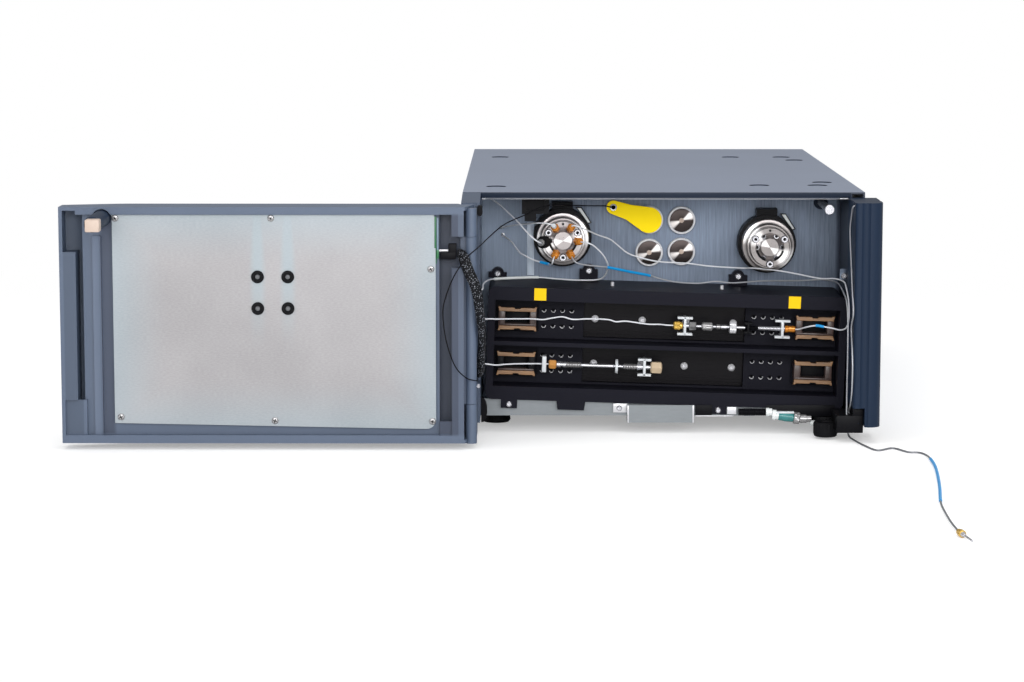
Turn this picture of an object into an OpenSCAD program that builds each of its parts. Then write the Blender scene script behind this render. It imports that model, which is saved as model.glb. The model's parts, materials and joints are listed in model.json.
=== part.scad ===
// Column compartment of a liquid chromatograph: a stackable case with a swing door, an oven
// with two column troughs, two switching valves and the capillaries between them.
// Millimetres. The bay opens towards -Y, Z is up, the desk is Z 0. The door is modelled open.

/* [Case] */
// Width of the top cover over its two sides
cover_w = 343; // [330:1:380]
// Depth of the top cover
cover_d = 577; // [500:1:620]
// Height of the case above its feet
case_h = 193; // [188:1:220]
// Height of the feet
foot_h = 14.6; // [14.6:0.2:24]
// Sheet thickness of cover and bulkhead
sheet_t = 1.5; // [1:0.1:2]
// Depth of the bay in front of the bulkhead
bay_d = 80; // [80:1:90]
// Diameter of the stacking recesses on the cover
nest_d = 18; // [10:1:24]
// Depth of the stacking recesses
nest_deep = 0.8; // [0.3:0.1:0.8]
// Radius of the feet
foot_r = 12.5; // [8:0.5:14]

/* [Door] */
// Width of the door from hinge axis to free edge
door_w = 339.8; // [320:1:350]
// Height of the door shell
door_h = 196.8; // [180:1:198]
// Depth of the door shell at its crown
door_crown = 56.5; // [45:0.5:64]
// Wall of the door shell
door_wall = 3; // [2:0.1:3.5]
// Radius of the long top and bottom edges
edge_r = 22; // [5:1:30]
// Thickness of the inner door panel
panel_t = 1.5; // [1:0.1:2]
// Outer radius of the hinge barrel
barrel_r = 4.6; // [3.8:0.1:4.8]
// Radius of the hinge pins
pin_r = 2; // [1.2:0.1:2.4]
// Radial play of pins and shafts
play = 0.05; // [0.02:0.01:0.1]

/* [Oven] */
// Height of the oven moulding
oven_h = 97.4; // [94:0.2:98]
// Slope of the oven and of the valve row in degrees
tilt = 1.8; // [0.5:0.1:2]
// Distance of the trough centre lines from the oven centre
trough_c = 19.5; // [18.5:0.1:20.5]
// Height of a trough
trough_h = 35.5; // [33:0.1:36]
// Height of the heater plates
heater_h = 31.8; // [26:0.2:32]
// Bore radius of the pin holes beside the heater plates
peg_r = 1.6; // [1:0.1:2]

/* [Valves] */
// Distance between the two valves
valve_gap = 179; // [160:1:185]
// Radius of the black collar
collar_r = 25.5; // [24:0.1:27]
// Radius of the steel stator ring
ring_r = 23; // [21:0.1:24]
// Radius of the port circle
port_c = 10.2; // [9.6:0.1:10.6]
// Bore radius of a port
port_r = 2; // [1.5:0.1:2.2]
// Radius of the rotor shaft
shaft_r = 4; // [3:0.1:6]
// Radius of the rotor disc
rotor_r = 14.5; // [10:0.5:16]

/* [Lines] */
// Radius of the steel capillaries
cap_r = 0.8; // [0.4:0.05:0.85]
// Radius of the coloured sleeves
sleeve_r = 1.25; // [0.9:0.05:1.3]
// Radius of the door harness
harness_r = 3.8; // [3:0.1:4.1]

/* [Rear] */
// Radius of the fan opening
fan_r = 37; // [30:1:38]
// Radius of the fan blades
blade_r = 35; // [28:1:36]
// Angle of the power rocker at rest
rocker_a = 8; // [4:1:10]

/* [Hidden] */

$fn = 48;
eps = 0.01;
hx = cover_w / 2;
wx = hx - 171.5;             // growth of each side over the modelled width
top_z = foot_h + case_h;
pan_z = foot_h + sheet_t;
lid_z = top_z - sheet_t;
bay_l = -hx + 15.5;          // left face of the bay
bay_r = hx - 12.5;           // inner face of the right flange
cheek_d = 58.5;
hinge_x = -hx + 8.7;
hinge_y = -80;
rim_y = -10;                 // door rim, seen from the hinge axis
door_z0 = 5.5;
door_z1 = door_z0 + door_h;
knuckle_z = [4.3, 37.3, 177.3, 200.6];
catch_x = hx - 30;
catch_z = door_z1 - 9.6;
latch_x = 2 * hinge_x - catch_x;
trim_x0 = 157.5 + wx;
trim_x1 = trim_x0 + 23.5;
door_min = hinge_x - door_w;
tip_y = -158;
rear_y = cover_d - 16;       // outer face of the rear panel
oven_x = 3;
oven_z = 73.4;
oven_w = 307.7 + 2 * wx;
oven_y = 0.5;
oven_floor = 30;
valve_mid = [4, 160.3];
back_feet = cover_d - 126;
nests = [[28 - hx, 65], [28 - hx, back_feet], [hx - 84, 79], [hx - 84, back_feet],
         [hx - 33, 79], [hx - 33, back_feet], [hx - 25.5, 114], [hx - 24, back_feet - 45]];
feet_at = [[28 - hx, 65], [28 - hx, back_feet], [hx - 33, 79], [hx - 33, back_feet]];
door_screw_at = [[293.4, 192.8], [165, 192.8], [291.1, 27.1], [163.1, 24.1],
                 [33.1, 150.8], [32.1, 23.6]];
grommet_at = [[176.4, 144.3], [151.4, 144.3], [176.4, 118], [151.4, 118]];
reader_at = [[-9, 177.4], [19.3, 177], [-9, 148.6], [19.3, 149.4]];
ear_at = [[29.2 - hx, 130.2], [-62.1, 132.8], [69.4, 127.8]];
clip_a = 128.5 + wx;
hole_a = 91 + wx;
plate_a = 71 + wx;           // half length of the recess of a heater plate

// middle of the footprint moves to X 0, Y 0
frame_origin = [(door_min + trim_x1) / 2, (tip_y + cover_d) / 2, 0];
module in_frame() translate(-frame_origin) children();

// cylinder along Y between two depths
module ycyl(y0, y1, r, r2 = undef)
  translate([0, y0, 0]) rotate([-90, 0, 0])
    cylinder(h = y1 - y0, r1 = r, r2 = r2 == undef ? r : r2);
// cylinder along X between two places
module xcyl(x0, x1, r, r2 = undef)
  translate([x0, 0, 0]) rotate([0, 90, 0])
    cylinder(h = x1 - x0, r1 = r, r2 = r2 == undef ? r : r2);
module box(x0, x1, y0, y1, z0, z1) translate([x0, y0, z0]) cube([x1 - x0, y1 - y0, z1 - z0]);
// flat shape drawn in X and Z, thick from y0 to y1
module slab(y0, y1) translate([0, y1, 0]) rotate([90, 0, 0]) linear_extrude(y1 - y0) children();
// rectangle with round corners
module round_rect(w, h, r) {
  square([w - 2 * r, h], center = true);
  square([w, h - 2 * r], center = true);
  for (x = [-1, 1], y = [-1, 1]) translate([x * (w / 2 - r), y * (h / 2 - r)]) circle(r);
}
// pan head screw facing -Y with its back face at Y 0
module pan_screw(r) difference() {
  union() {
    ycyl(-r * 0.35, 0, r);
    ycyl(-r * 0.7, -r * 0.35, r * 0.7, r);
  }
  for (a = [0, 90]) rotate([0, a, 0]) box(-r * 0.5, r * 0.5, -r, -r * 0.35, -0.25, 0.25);
}

// smooth line through given points
function spline(a, b, c, d, t) = 0.5 * (2 * b + (c - a) * t
  + (2 * a - 5 * b + 4 * c - d) * t * t + (3 * b - a - 3 * c + d) * t * t * t);
function smooth(p, k) = [for (i = [0 : len(p) - 2], j = [0 : k - 1])
  spline(p[max(i - 1, 0)], p[i], p[i + 1], p[min(i + 2, len(p) - 1)], j / k), p[len(p) - 1]];
function unit(v) = v / norm(v);
function heading(p) = [for (i = [0 : len(p) - 1])
  unit(p[min(i + 1, len(p) - 1)] - p[max(i - 1, 0)])];
function carry(n, t) = unit(n - (n * t) * t);
// round line swept along a list of points, from one of its points to another
module sweep(p, r, from, to, sides) {
  t = heading(p);
  n = [for (i = 0, v = carry([0.31, 0.42, 0.85], t[0]); i < len(t);
            i = i + 1, v = i < len(t) ? carry(v, t[i]) : v) v];
  last = to - from;
  polyhedron(
    points = [for (i = [from : to], j = [0 : sides - 1])
      p[i] + r * (cos(j * 360 / sides) * n[i] + sin(j * 360 / sides) * cross(t[i], n[i]))],
    faces = concat(
      [[for (j = [0 : sides - 1]) j]],
      [[for (j = [sides - 1 : -1 : 0]) last * sides + j]],
      [for (i = [0 : last - 1], j = [0 : sides - 1])
        [i * sides + j, (i + 1) * sides + j, (i + 1) * sides + (j + 1) % sides]],
      [for (i = [0 : last - 1], j = [0 : sides - 1])
        [i * sides + j, (i + 1) * sides + (j + 1) % sides, i * sides + (j + 1) % sides]]));
}
// line through control points, cut to the stretch between two of them
module line(p, from = 0, to = undef, r = cap_r, k = 2, sides = 8)
  sweep(smooth(p, k), r, from * k, (to == undef ? len(p) - 1 : to) * k, sides);

// frames: oven plane, valve centres, port axes, door
module on_oven() translate([oven_x, 0, oven_z]) rotate([0, tilt, 0]) children();
function valve_at(side) = valve_mid + side * valve_gap / 2 * [cos(tilt), -sin(tilt)];
module on_valve(side) translate([valve_at(side)[0], 0, valve_at(side)[1]]) children();
port_y = 33;
port_lean = 25;
module on_port(a) rotate([0, a, 0]) translate([0, port_y, port_c]) rotate([90 - port_lean, 0, 0])
  children();
// point on the axis of a port of the left valve
function port_point(a, s) = let (v = valve_at(-1), q = port_c + s * sin(port_lean))
  [v[0] + q * sin(a), port_y - s * cos(port_lean), v[1] + q * cos(a)];
nut_end = 12;
blank_end = 18;
module on_door() translate([hinge_x, hinge_y, 0]) children();

// the outer ends of the lines keep with the sides of the case
function wide(p) = [for (q = p) [q[0] + (abs(q[0]) > 120 ? sign(q[0]) * wx : 0), q[1], q[2]]];

// control points of the lines
inlet_pts = concat([[-161, 60, 196.4], [-155, 60, 196.6], [-149, 54, 198], [-141, 48, 193.5],
  [-133, 40, 187], [-124.5, 26, 180], [-117, 15, 172.5], [-110, 9.5, 166.3]],
  [port_point(-90, blank_end + 4), port_point(-90, blank_end)]);
wash_pts = concat([[-139.5, bay_d + 6, 170.4], [-139.5, bay_d - 3, 170.4], [-131, 62, 173.3],
  [-120, 44, 176.3], [-110, 28, 178.6], [-101, 18.5, 179.5]],
  [port_point(-30, nut_end + 3), port_point(-30, nut_end)]);
feed_pts = concat([[-138, bay_d + 6, 163.9], [-138, bay_d - 3, 163.9], [-130, 60, 159.4],
  [-123, 48, 151.5], [-118.5, 44, 149], [-111.5, 40, 145.8], [-105, 36, 144.2],
  [-98, 32, 142.8], [-95.4, 21, 143.6], [-94.3, 16.6, 147]],
  [port_point(-150, nut_end + 3), port_point(-150, nut_end)]);
loop_pts = concat([port_point(90, nut_end), port_point(90, nut_end + 3)],
  [[-64, 17, 162.5], [-58, 20, 159], [-50, 28, 150], [-46.3, 38, 140], [-49.2, 48, 130.5],
  [-56, 53, 126.8], [-74.4, 55, 126.4], [-92.8, 59, 127.2], [-106.5, 60, 128.2],
  [-126, 52, 128.6], [-145, 39, 129], [-151.5, 24, 128.8], [-154.3, 9, 127.2],
  [-154.8, -2, 124.6], [-161, -6, 123]]);
column_pts = concat([port_point(30, nut_end), port_point(30, nut_end + 3)],
  [[-72, 18.5, 176.5], [-66, 24, 173.5], [-54.6, 42, 167], [-45, 50, 163], [-39, 55, 158.4],
  [-30, 60, 150.5], [-21, 62, 146.5], [-2, 62, 142], [24, 62, 140.3], [44, 58, 138.3],
  [71, 53, 137.2], [80, 45, 138], [99, 41, 136.6], [117, 43, 133.4], [137.5, 36, 130],
  [149.5, 24, 131], [155.4, 8, 130], [155.7, -10, 126], [155.7, -26, 119],
  [155.7, -33, 111], [155.6, -32, 102], [154.5, -24, 94.5], [151, -12, 91], [145, -5, 91.5],
  [138, -1, 92.4], [131.3, 2, 93], [123.4, 7, 91], [118, 14.6, 88.3], [114.8, 15, 88.2]]);
waste_pts = concat([port_point(150, nut_end), port_point(150, nut_end + 3)],
  [[-74, 17.5, 145.5], [-66.5, 21, 143.2], [-52, 28, 141], [-47, 31, 140.2],
  [-28, 42, 135.3], [-9, 52, 130.6], [-2.6, 54, 128.4], [12, 50, 125.4], [32, 47, 124.4],
  [48, 48, 126], [63.5, 50, 124.5], [88, 56, 125.5], [121, 64, 125], [140, 63, 126],
  [149, 52, 126.3], [153, 36, 126], [153.4, 10, 124.5], [153.4, -14, 122],
  [153.4, -32, 118.5], [153.4, -42, 111], [153.6, -45, 98], [153.6, -46, 72],
  [153.5, -45, 46], [153.5, -45, 30], [153.5, -45, 22], [153.5, -45, 15]]);
side_pts = [[162, -46, 200], [158.3, -46, 200], [156.3, -44.5, 198.4], [156.3, -36, 191],
  [156.3, -26, 179], [156.3, -31, 165], [156.3, -38, 152], [156.3, -50, 129],
  [156.3, -60, 111.5], [156.3, -47, 97], [156.3, -55, 80], [156.3, -59.5, 64],
  [156.3, -57, 46], [156.3, -50, 34], [156.3, -38, 26], [156.3, -36, 21.5], [156.3, -36, 15]];
upper_pts = [[-161, -7, 99], [-155, -5.5, 99.2], [-148, -2.5, 99.2], [-143, -1, 98.8],
  [-136, 5, 98.2], [-127, 9, 97.8], [-112, 9, 97.8], [-103, 9, 97.2], [-94.5, 9, 98.6],
  [-86, 9, 99.6], [-77, 9, 97.4], [-64, 9, 97.8], [-47.5, 9, 97.3], [-40, 9, 95.4],
  [-31, 9, 95.8], [-13, 10, 93.2], [-2, 13, 92.6], [4, 14.7, 91.7], [9.4, 15, 91.5]];
lower_pts = [[-161, -7, 61.5], [-155, -5.5, 61], [-148, -2.5, 59.8], [-143, -1, 59],
  [-136, 5, 58.8], [-126, 10, 58.6], [-111, 14.2, 58.2], [-104, 15, 58], [-97.8, 15, 57.8]];
outlet_pts = [[156.3, -33, 13], [156.3, -33, 6.5], [157.2, -35, 2.6], [160.5, -44, 1],
  [166, -71, 0.9], [174, -95, 0.9], [188, -84, 0.9], [198, -103, 0.9], [207, -106, 0.9],
  [211.3, -118, 0.9], [212, -139, 1.35], [211, -172, 1.35], [208, -208, 1.35],
  [201.5, -268, 1.35], [194, -327, 1.35], [191.8, -357, 1.1], [189.8, -405, 1.6],
  [189, -435, 2.6], [189.2, -453.7, 2.85]];
harness_pts = [[-174, -84, 163.8], [-172.6, -84.2, 163.7], [-171.3, -84.7, 163.3],
  [-170.3, -85.4, 162.6], [-169.6, -86.4, 161.8], [-168.9, -88, 160.5], [-167.5, -91.5, 157.5],
  [-165.6, -95, 152.6], [-163.2, -97, 147], [-160, -97, 140], [-157.3, -95, 130],
  [-155.9, -92, 119], [-154.6, -88, 108], [-153.9, -83, 98], [-153.9, -77, 88],
  [-154.4, -71, 80], [-154.9, -66, 72], [-155, -62.8, 66.5], [-155.7, -58, 61.5],
  [-158, -53, 58.5], [-162, -49.5, 57.5]];
tag_pts = [[-42.3, bay_d - 2.5, 188.7], [-42.35, bay_d - 9, 188.75], [-44.5, 67, 189.6], [-50, 63.5, 190.8],
  [-61, 58, 191.2], [-80, 42, 193], [-95, 18, 195.2], [-108, 13, 192.3], [-119, 8, 187.2],
  [-131, -8, 183.4], [-139.5, -22, 179.4], [-148, -60, 175], [-156, -93, 170],
  [-166, -105, 162], [-176, -106, 147.5], [-183, -99, 130], [-185.8, -97, 116],
  [-183.3, -97, 93], [-176, -97, 71.6], [-167, -96, 61.6], [-160.5, -90.5, 58.6],
  [-157.9, -86.5, 57.8]];

// ---- case ----
module top_cover() color([0.4, 0.44, 0.5]) in_frame() {
  difference() {
    box(-hx, hx, 0, cover_d, foot_h, top_z);
    box(-hx + sheet_t, hx - sheet_t, -1, cover_d + 1, foot_h - 1, lid_z);
    for (p = nests) translate([p[0], p[1], top_z - nest_deep]) cylinder(h = 2, r = nest_d / 2);
  }
  box(-hx + 19.5, hx - 21.5, 0, sheet_t, lid_z - 4, lid_z + eps);
}

pan_x = hx - sheet_t - 0.2;
function under(x) = oven_z - (x - oven_x) * tan(tilt) - oven_h / 2 / cos(tilt);
drain_z = 18.6;
module base_pan() color([0.62, 0.68, 0.7]) in_frame() {
  // saddle of the drain tube
  difference() {
    box(70 + wx, 79 + wx, -1, 4 + eps, foot_h + 0.4, 21);
    translate([wx, -2, drain_z]) xcyl(60, 90, 3);
  }
  box(-pan_x, pan_x, 4, cover_d - 1, foot_h, pan_z);
  slab(4, 4 + sheet_t) polygon([[bay_l + 1, foot_h + eps], [bay_l + 1, under(bay_l + 1) - 0.3],
    [bay_r - 1, under(bay_r - 1) - 0.3], [bay_r - 1, foot_h + eps]]);
  for (s = [-1, 1]) translate([s * (pan_x - sheet_t / 2), 0, 0])
    box(-sheet_t / 2, sheet_t / 2, 84, rear_y - sheet_t - 0.2, foot_h, 34);
}

module front_bulkhead() color([0.5, 0.56, 0.6]) in_frame() {
  difference() {
    union() {
      box(bay_l - sheet_t, bay_r + sheet_t, bay_d, bay_d + sheet_t, pan_z + 0.1, lid_z - 0.1);
      box(bay_l - sheet_t, bay_l, 0.2, bay_d + 1, pan_z + 0.1, lid_z - 0.1);
      box(bay_r, bay_r + sheet_t, 0.2, bay_d + 1, pan_z + 0.1, lid_z - 0.1);
      box(bay_r - 7, bay_r + eps, 10, 10 + sheet_t, 132, 141);
      slab(bay_d - 1.2, bay_d + eps) translate([-113.4, 151.5]) round_rect(6.2, 47, 2);
    }
    for (s = [-1, 1]) on_valve(s) ycyl(bay_d - 1, bay_d + 3, 9);
    translate([-139.5 - wx, 0, 170.4]) ycyl(bay_d - 1, bay_d + 3, 1.6);
    translate([-138 - wx, 0, 163.9]) ycyl(bay_d - 1, bay_d + 3, 1.6);
    translate([0, 60, 196.4]) xcyl(bay_l - 3, bay_l + 1, 1.6);
  }
}

fan_at = [hx - 76.5, lid_z - 71.1];
inlet_at = [56.5 - hx, 52];
socket_at = [[-20, 60], [0, 60]];
serial_at = [32, 60];
module rear_panel() color([0.5, 0.54, 0.58]) in_frame()
  slab(rear_y - sheet_t, rear_y) difference() {
    translate([-pan_x, pan_z + 0.1]) square([2 * pan_x, lid_z - pan_z - 0.2]);
    translate(fan_at) difference() {
      circle(fan_r);
      for (r = [12, 24]) difference() { circle(r + 1.2); circle(r - 1.2); }
      for (a = [0, 60, 120]) rotate(a) square([2.4, 2 * fan_r + 2], center = true);
    }
    translate(inlet_at) square([52.4, 26.4], center = true);
    for (p = socket_at) translate(p) square([16.4, 14.4], center = true);
    translate(serial_at) square([26.4, 10.4], center = true);
    for (x = [-150 : 9 : -24]) translate([x, 140]) square([3, 60], center = true);
    translate([hx - 21.5, 30]) circle(5);
  }

module left_cheek() color([0.35, 0.4, 0.5]) in_frame() difference() {
  union() {
    translate([-hx, 0, 0]) rotate([90, 0, 90]) linear_extrude(15.5)
      polygon([[-cheek_d, 18], [-cheek_d, top_z - 4.1], [0, top_z - 0.2], [0, 18]]);
    box(-hx + sheet_t + 0.2, bay_l - sheet_t - 0.3, -eps, 25, 24, lid_z - 10.1);
  }
  box(-hx + 3.7, bay_l - 2.2, -cheek_d + 3, 26, 26, lid_z - 12.1);
  for (z = [[8.9, knuckle_z[1] + 0.1], [knuckle_z[2] - 0.1, 199.1]])
    box(hinge_x + 3.3, hinge_x + 4.7, -cheek_d - 1, -47.5, z[0], z[1]);
  box(bay_l - 7.5, bay_l + 1, -cheek_d - 1, -42, 52, 74);
  translate([0, -4.3, 123.8]) xcyl(bay_l - 3, bay_l + 1, 2.7);
  translate([0, -5.9, 99.1]) xcyl(bay_l - 3, bay_l + 1, 1.6);
  translate([0, -5.9, 61.1]) xcyl(bay_l - 3, bay_l + 1, 1.6);
}

module right_trim() color([0.2, 0.28, 0.38]) in_frame() {
  difference() {
    union() {
      translate([0, 0, 14]) linear_extrude(189) difference() {
        union() {
          translate([trim_x0, -48]) square([23.5, 48]);
          translate([trim_x0 + 3, -58]) square([10.5, 12]);
          translate([trim_x0 + 3, -55]) circle(3);
          translate([trim_x0, -55]) square([6, 8]);
          translate([trim_x1 - 10, -48]) circle(10);
        }
        translate([trim_x0 + 9, -61.4]) circle(5);
        translate([trim_x1 + 3.2, -30]) circle(5);
      }
      box(bay_r + sheet_t + 0.3, hx - sheet_t - 0.3, -eps, 25, 24, lid_z - 10.1);
    }
    box(trim_x0 + 2.6, hx - 3.8, -50, 26, 32, 190);
    box(trim_x0 - 1, trim_x0 + 10, -60, 1, 13, 30);
    translate([0, -46, 200]) xcyl(trim_x0 - 1, trim_x0 + 5, 1.3);
  }
}

module feet() color([0.08, 0.08, 0.09]) in_frame()
  for (p = feet_at) translate([p[0], p[1], 0]) difference() {
    union() {
      cylinder(h = 2, r1 = foot_r - 1.5, r2 = foot_r);
      translate([0, 0, 2]) cylinder(h = foot_h - 2, r1 = foot_r, r2 = foot_r - 1);
    }
    translate([0, 0, -1]) cylinder(h = 6, r = foot_r * 0.35);
  }

module hinge_brackets() color([0.55, 0.58, 0.62]) in_frame() on_door()
  for (k = [[knuckle_z[0], knuckle_z[1], 9, knuckle_z[1]],
            [knuckle_z[2], knuckle_z[3], knuckle_z[2], 199]]) difference() {
    union() {
      translate([0, 0, k[0]]) cylinder(h = k[1] - k[0], r = barrel_r);
      box(3.4, 4.6, 0, 32, k[2], k[3]);
    }
    translate([0, 0, k[0] - 1]) cylinder(h = 40, r = pin_r + play);
  }

module hinge_pins() color([0.7, 0.7, 0.72]) in_frame() on_door() {
  translate([0, 0, knuckle_z[0]]) cylinder(h = 56, r = pin_r);
  translate([0, 0, knuckle_z[3] - 50]) cylinder(h = 50, r = pin_r);
}

module door_bumper() color([0.1, 0.1, 0.11]) in_frame()
  slab(-69.7, -cheek_d) translate([bay_l + 0.2, 197.4]) {
    square([4.4, 4], center = true);
    for (s = [-2, 2]) translate([0, s]) circle(2.2);
  }

module guide_bracket() color([0.06, 0.06, 0.07]) in_frame() difference() {
  union() {
    box(-121, -97.5, 24, 38, 187, 202.5);
    box(-118.7, -108.7, 24, 30, 180.6, 187 + eps);
    box(-115, -104, 38 - eps, bay_d, 195, 200);
  }
  box(-117, -101.5, 23, 27, 190, 199);
}

module catch_pin() color([0.8, 0.8, 0.82]) in_frame() translate([catch_x, 0, catch_z]) {
  ycyl(-1, 5, 4.2);
  ycyl(5 - eps, 76, 3.1);
  ycyl(76 - eps, bay_d, 6);
}

// ---- oven ----
function to_oven(p) = [(p[0] - oven_x) * cos(tilt) - (p[1] - oven_z) * sin(tilt),
                       (p[0] - oven_x) * sin(tilt) + (p[1] - oven_z) * cos(tilt)];
foot_ears = [[-132, 25], [48, 19.8]];
module oven_housing() color([0.09, 0.09, 0.11]) in_frame() on_oven() {
  difference() {
    union() {
      slab(oven_y, bay_d) round_rect(oven_w, oven_h, 6);
      slab(72, bay_d) for (e = ear_at) translate([to_oven(e)[0], oven_h / 2]) {
        translate([-8, -eps]) square([16, to_oven(e)[1] - oven_h / 2 + 1]);
        translate([0, to_oven(e)[1] - oven_h / 2]) circle(5.5);
      }
      slab(oven_y, 3.7) for (e = foot_ears) translate([to_oven(e)[0], 0])
        translate([-7, to_oven(e)[1] - 3.5]) square([14, 9]);
      slab(oven_y, 3.7) translate([-92.6, -oven_h / 2 - 7.4])
        polygon([[1, 0], [23.8, 0], [24.8, 7.5], [0, 7.5]]);
      for (a = [-47, 48]) translate([a, 35, oven_h / 2 - eps]) cylinder(h = 3.4, r = 1.3);
    }
    for (s = [-1, 1]) translate([0, 0, s * trough_c]) {
      slab(oven_y - 1, oven_floor) square([oven_w - 12, trough_h], center = true);
      box(-plate_a, plate_a - 2, oven_floor - 1, 45, -heater_h / 2 - 0.2, heater_h / 2 + 0.2);
      for (t = [-1, 1]) {
        slab(oven_floor - 1, 34) translate([t * clip_a, 0]) round_rect(37, 24, 1.5);
        for (i = [-12 : 8 : 12], j = [-6.8, 6.8]) translate([t * hole_a + i - 2.6, 0, j])
          ycyl(oven_floor - 1, oven_floor + 8, peg_r);
      }
    }
    box(-oven_w / 2 + 13.85, oven_w / 2 - 13.85, 50, bay_d + 1, -42, 42);
  }
}

module oven_insulation() color([0.75, 0.75, 0.7]) in_frame() on_oven()
  box(-oven_w / 2 + 14.25, oven_w / 2 - 14.25, 50.4, bay_d - 0.2, -41.6, 41.6);

module heater_plates() color([0.1, 0.1, 0.11]) in_frame() on_oven()
  for (s = [-1, 1]) translate([-1, 0, s * trough_c]) difference() {
    box(-plate_a + 1.3, plate_a - 1.3, 35, 44.9, -heater_h / 2, heater_h / 2);
    box(-plate_a, plate_a, 34, 35.8, -10.6, -9.8);
    box(-plate_a, plate_a, 34, 36.5, -heater_h / 2 - 1, -12.8);
    for (a = [-60, -19, 19, 60]) translate([a, 0, 0]) ycyl(34, 36.5, 3.2);
  }

module column_clips() color([0.45, 0.33, 0.24]) in_frame() on_oven()
  for (s = [-1, 1], t = [-1, 1]) translate([t * clip_a, 0, s * trough_c]) difference() {
    union() {
      slab(16, 33.9) square([33.5, 17], center = true);
      for (u = [-1, 1]) slab(16, 24) translate([0, u * 8.6]) square([33.5, 2.8], center = true);
    }
    slab(15, 35) square([21, 11], center = true);
    slab(15, 20) square([26, 11], center = true);
    for (u = [-1, 1]) {
      slab(15, 25) translate([0, u * 9.4]) square([4.5, 1.6], center = true);
      slab(15, 25) translate([0, u * 10.1]) square([24, 1.1], center = true);
    }
  }

module oven_squares() color([0.98, 0.78, 0.05]) in_frame() on_oven()
  slab(oven_y - 0.4, oven_y) for (a = [-109.5 - wx, 108.5 + wx])
    translate([a, oven_h / 2 - 5.6]) square(10.3, center = true);

module case_screws() color([0.75, 0.75, 0.77]) in_frame() {
  for (e = ear_at) translate([e[0], 72, e[1]]) pan_screw(2.9);
  for (e = foot_ears) translate([e[0], oven_y, e[1]]) pan_screw(2.4);
  translate([hinge_x + 5.3, -cheek_d, 49.3]) pan_screw(1.9);
  translate([-37, 2.8, 21.2]) pan_screw(2.4);
  translate([bay_r - 3.4, 10, 135]) pan_screw(2.6);
  on_oven() for (s = [-1, 1], a = [-61, -20, 18, 59])
    translate([a, 36.5, s * trough_c]) pan_screw(2.7);
  for (s = [-1, 1]) on_valve(s) for (a = [-60, 60, 180]) rotate([0, a, 0])
    translate([0, 0, 14.6]) difference() {
      ycyl(30.4, 33, 1.7);
      ycyl(30, 31.6, 0.85, $fn = 6);
    }
}

// ---- valves ----
ports = [-150, -90, -30, 30, 90, 150];
module stator() difference() {
  union() {
    ycyl(30, 38, 17.3);
    ycyl(38 - eps, 48, 19.5);
    ycyl(48 - eps, 62, ring_r);
  }
  ycyl(52, 63, rotor_r + 0.3);
  rotate([-90, 0, 0]) rotate_extrude()
    polygon([[7.8, 29], [7.8, 30], [port_c, port_y], [12.6, 30], [12.6, 29]]);
  for (a = ports) {
    on_port(a) translate([0, 0, -8]) cylinder(h = 14, r = port_r);
    rotate([0, a, 0]) translate([0, 0, port_c - 3.4]) ycyl(39, 53, 0.5);
  }
  for (a = [-60, 60, 180]) rotate([0, a, 0]) translate([0, 0, 14.6]) ycyl(29, 33, 1.8);
  translate([0, 0, 15]) ycyl(29, 32, 0.9);
}
module left_stator() color([0.72, 0.72, 0.74]) in_frame() on_valve(-1) stator();
module right_stator() color([0.72, 0.72, 0.74]) in_frame() on_valve(1) stator();

module valve_collars() color([0.07, 0.07, 0.08]) in_frame()
  for (s = [-1, 1]) on_valve(s) difference() {
    union() {
      ycyl(62, bay_d, collar_r);
      box(-9, 9, 64, bay_d, collar_r - 3, collar_r + 5);
    }
    ycyl(61, bay_d + 1, 10);
  }

module valve_drives() color([0.3, 0.31, 0.33]) in_frame() {
  y0 = bay_d + sheet_t;
  for (s = [-1, 1]) on_valve(s) difference() {
    union() {
      ycyl(y0, y0 + 3, 24);
      ycyl(y0 + 3 - eps, y0 + 40, 20);
      box(-21, 21, y0 + 40 - eps, y0 + 86, -21, 21);
    }
    ycyl(y0 - 1, y0 + 16, shaft_r + play);
  }
}

module rotor() difference() {
  union() {
    ycyl(52.3, 61.7, rotor_r);
    ycyl(61.7 - eps, bay_d + sheet_t + 15, shaft_r);
  }
  for (a = [0, 120, 240]) rotate([0, a, 0]) translate([0, 0, port_c - 3.4])
    box(-3.4, 3.4, 52, 52.7, -0.4, 0.4);
}
module left_rotor() color([0.6, 0.6, 0.55]) in_frame() on_valve(-1) rotor();
module right_rotor() color([0.6, 0.6, 0.55]) in_frame() on_valve(1) rotor();

module port_nuts() color([0.75, 0.6, 0.4]) in_frame() on_valve(-1)
  for (a = [-150, -30, 30, 90, 150]) on_port(a) {
    translate([0, 0, -6]) cylinder(h = 12, r = port_r - 0.1);
    translate([0, 0, 5]) cylinder(h = 4.5, r = 3.3, $fn = 6);
    translate([0, 0, 9.5 - eps]) cylinder(h = nut_end - 9.5, r = 2.4);
  }

module blank_nut() color([0.05, 0.05, 0.06]) in_frame() on_valve(-1) on_port(-90) {
  translate([0, 0, -6]) cylinder(h = 13, r = port_r - 0.1);
  translate([0, 0, 6.6]) cylinder(h = 8.4, r = 5);
  translate([0, 0, 15 - eps]) cylinder(h = blank_end - 15, r = 3);
}

module tag_readers() color([0.7, 0.7, 0.72]) in_frame()
  for (p = reader_at) translate([p[0], 0, p[1]]) difference() {
    ycyl(bay_d - 5.5, bay_d, 12.2);
    difference() { ycyl(bay_d - 6, bay_d - 4.5, 10.6); ycyl(bay_d - 7, bay_d, 9.4); }
    box(-7.5, 7.5, bay_d - 6, bay_d - 3.5, -1.1, 1.1);
  }

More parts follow.
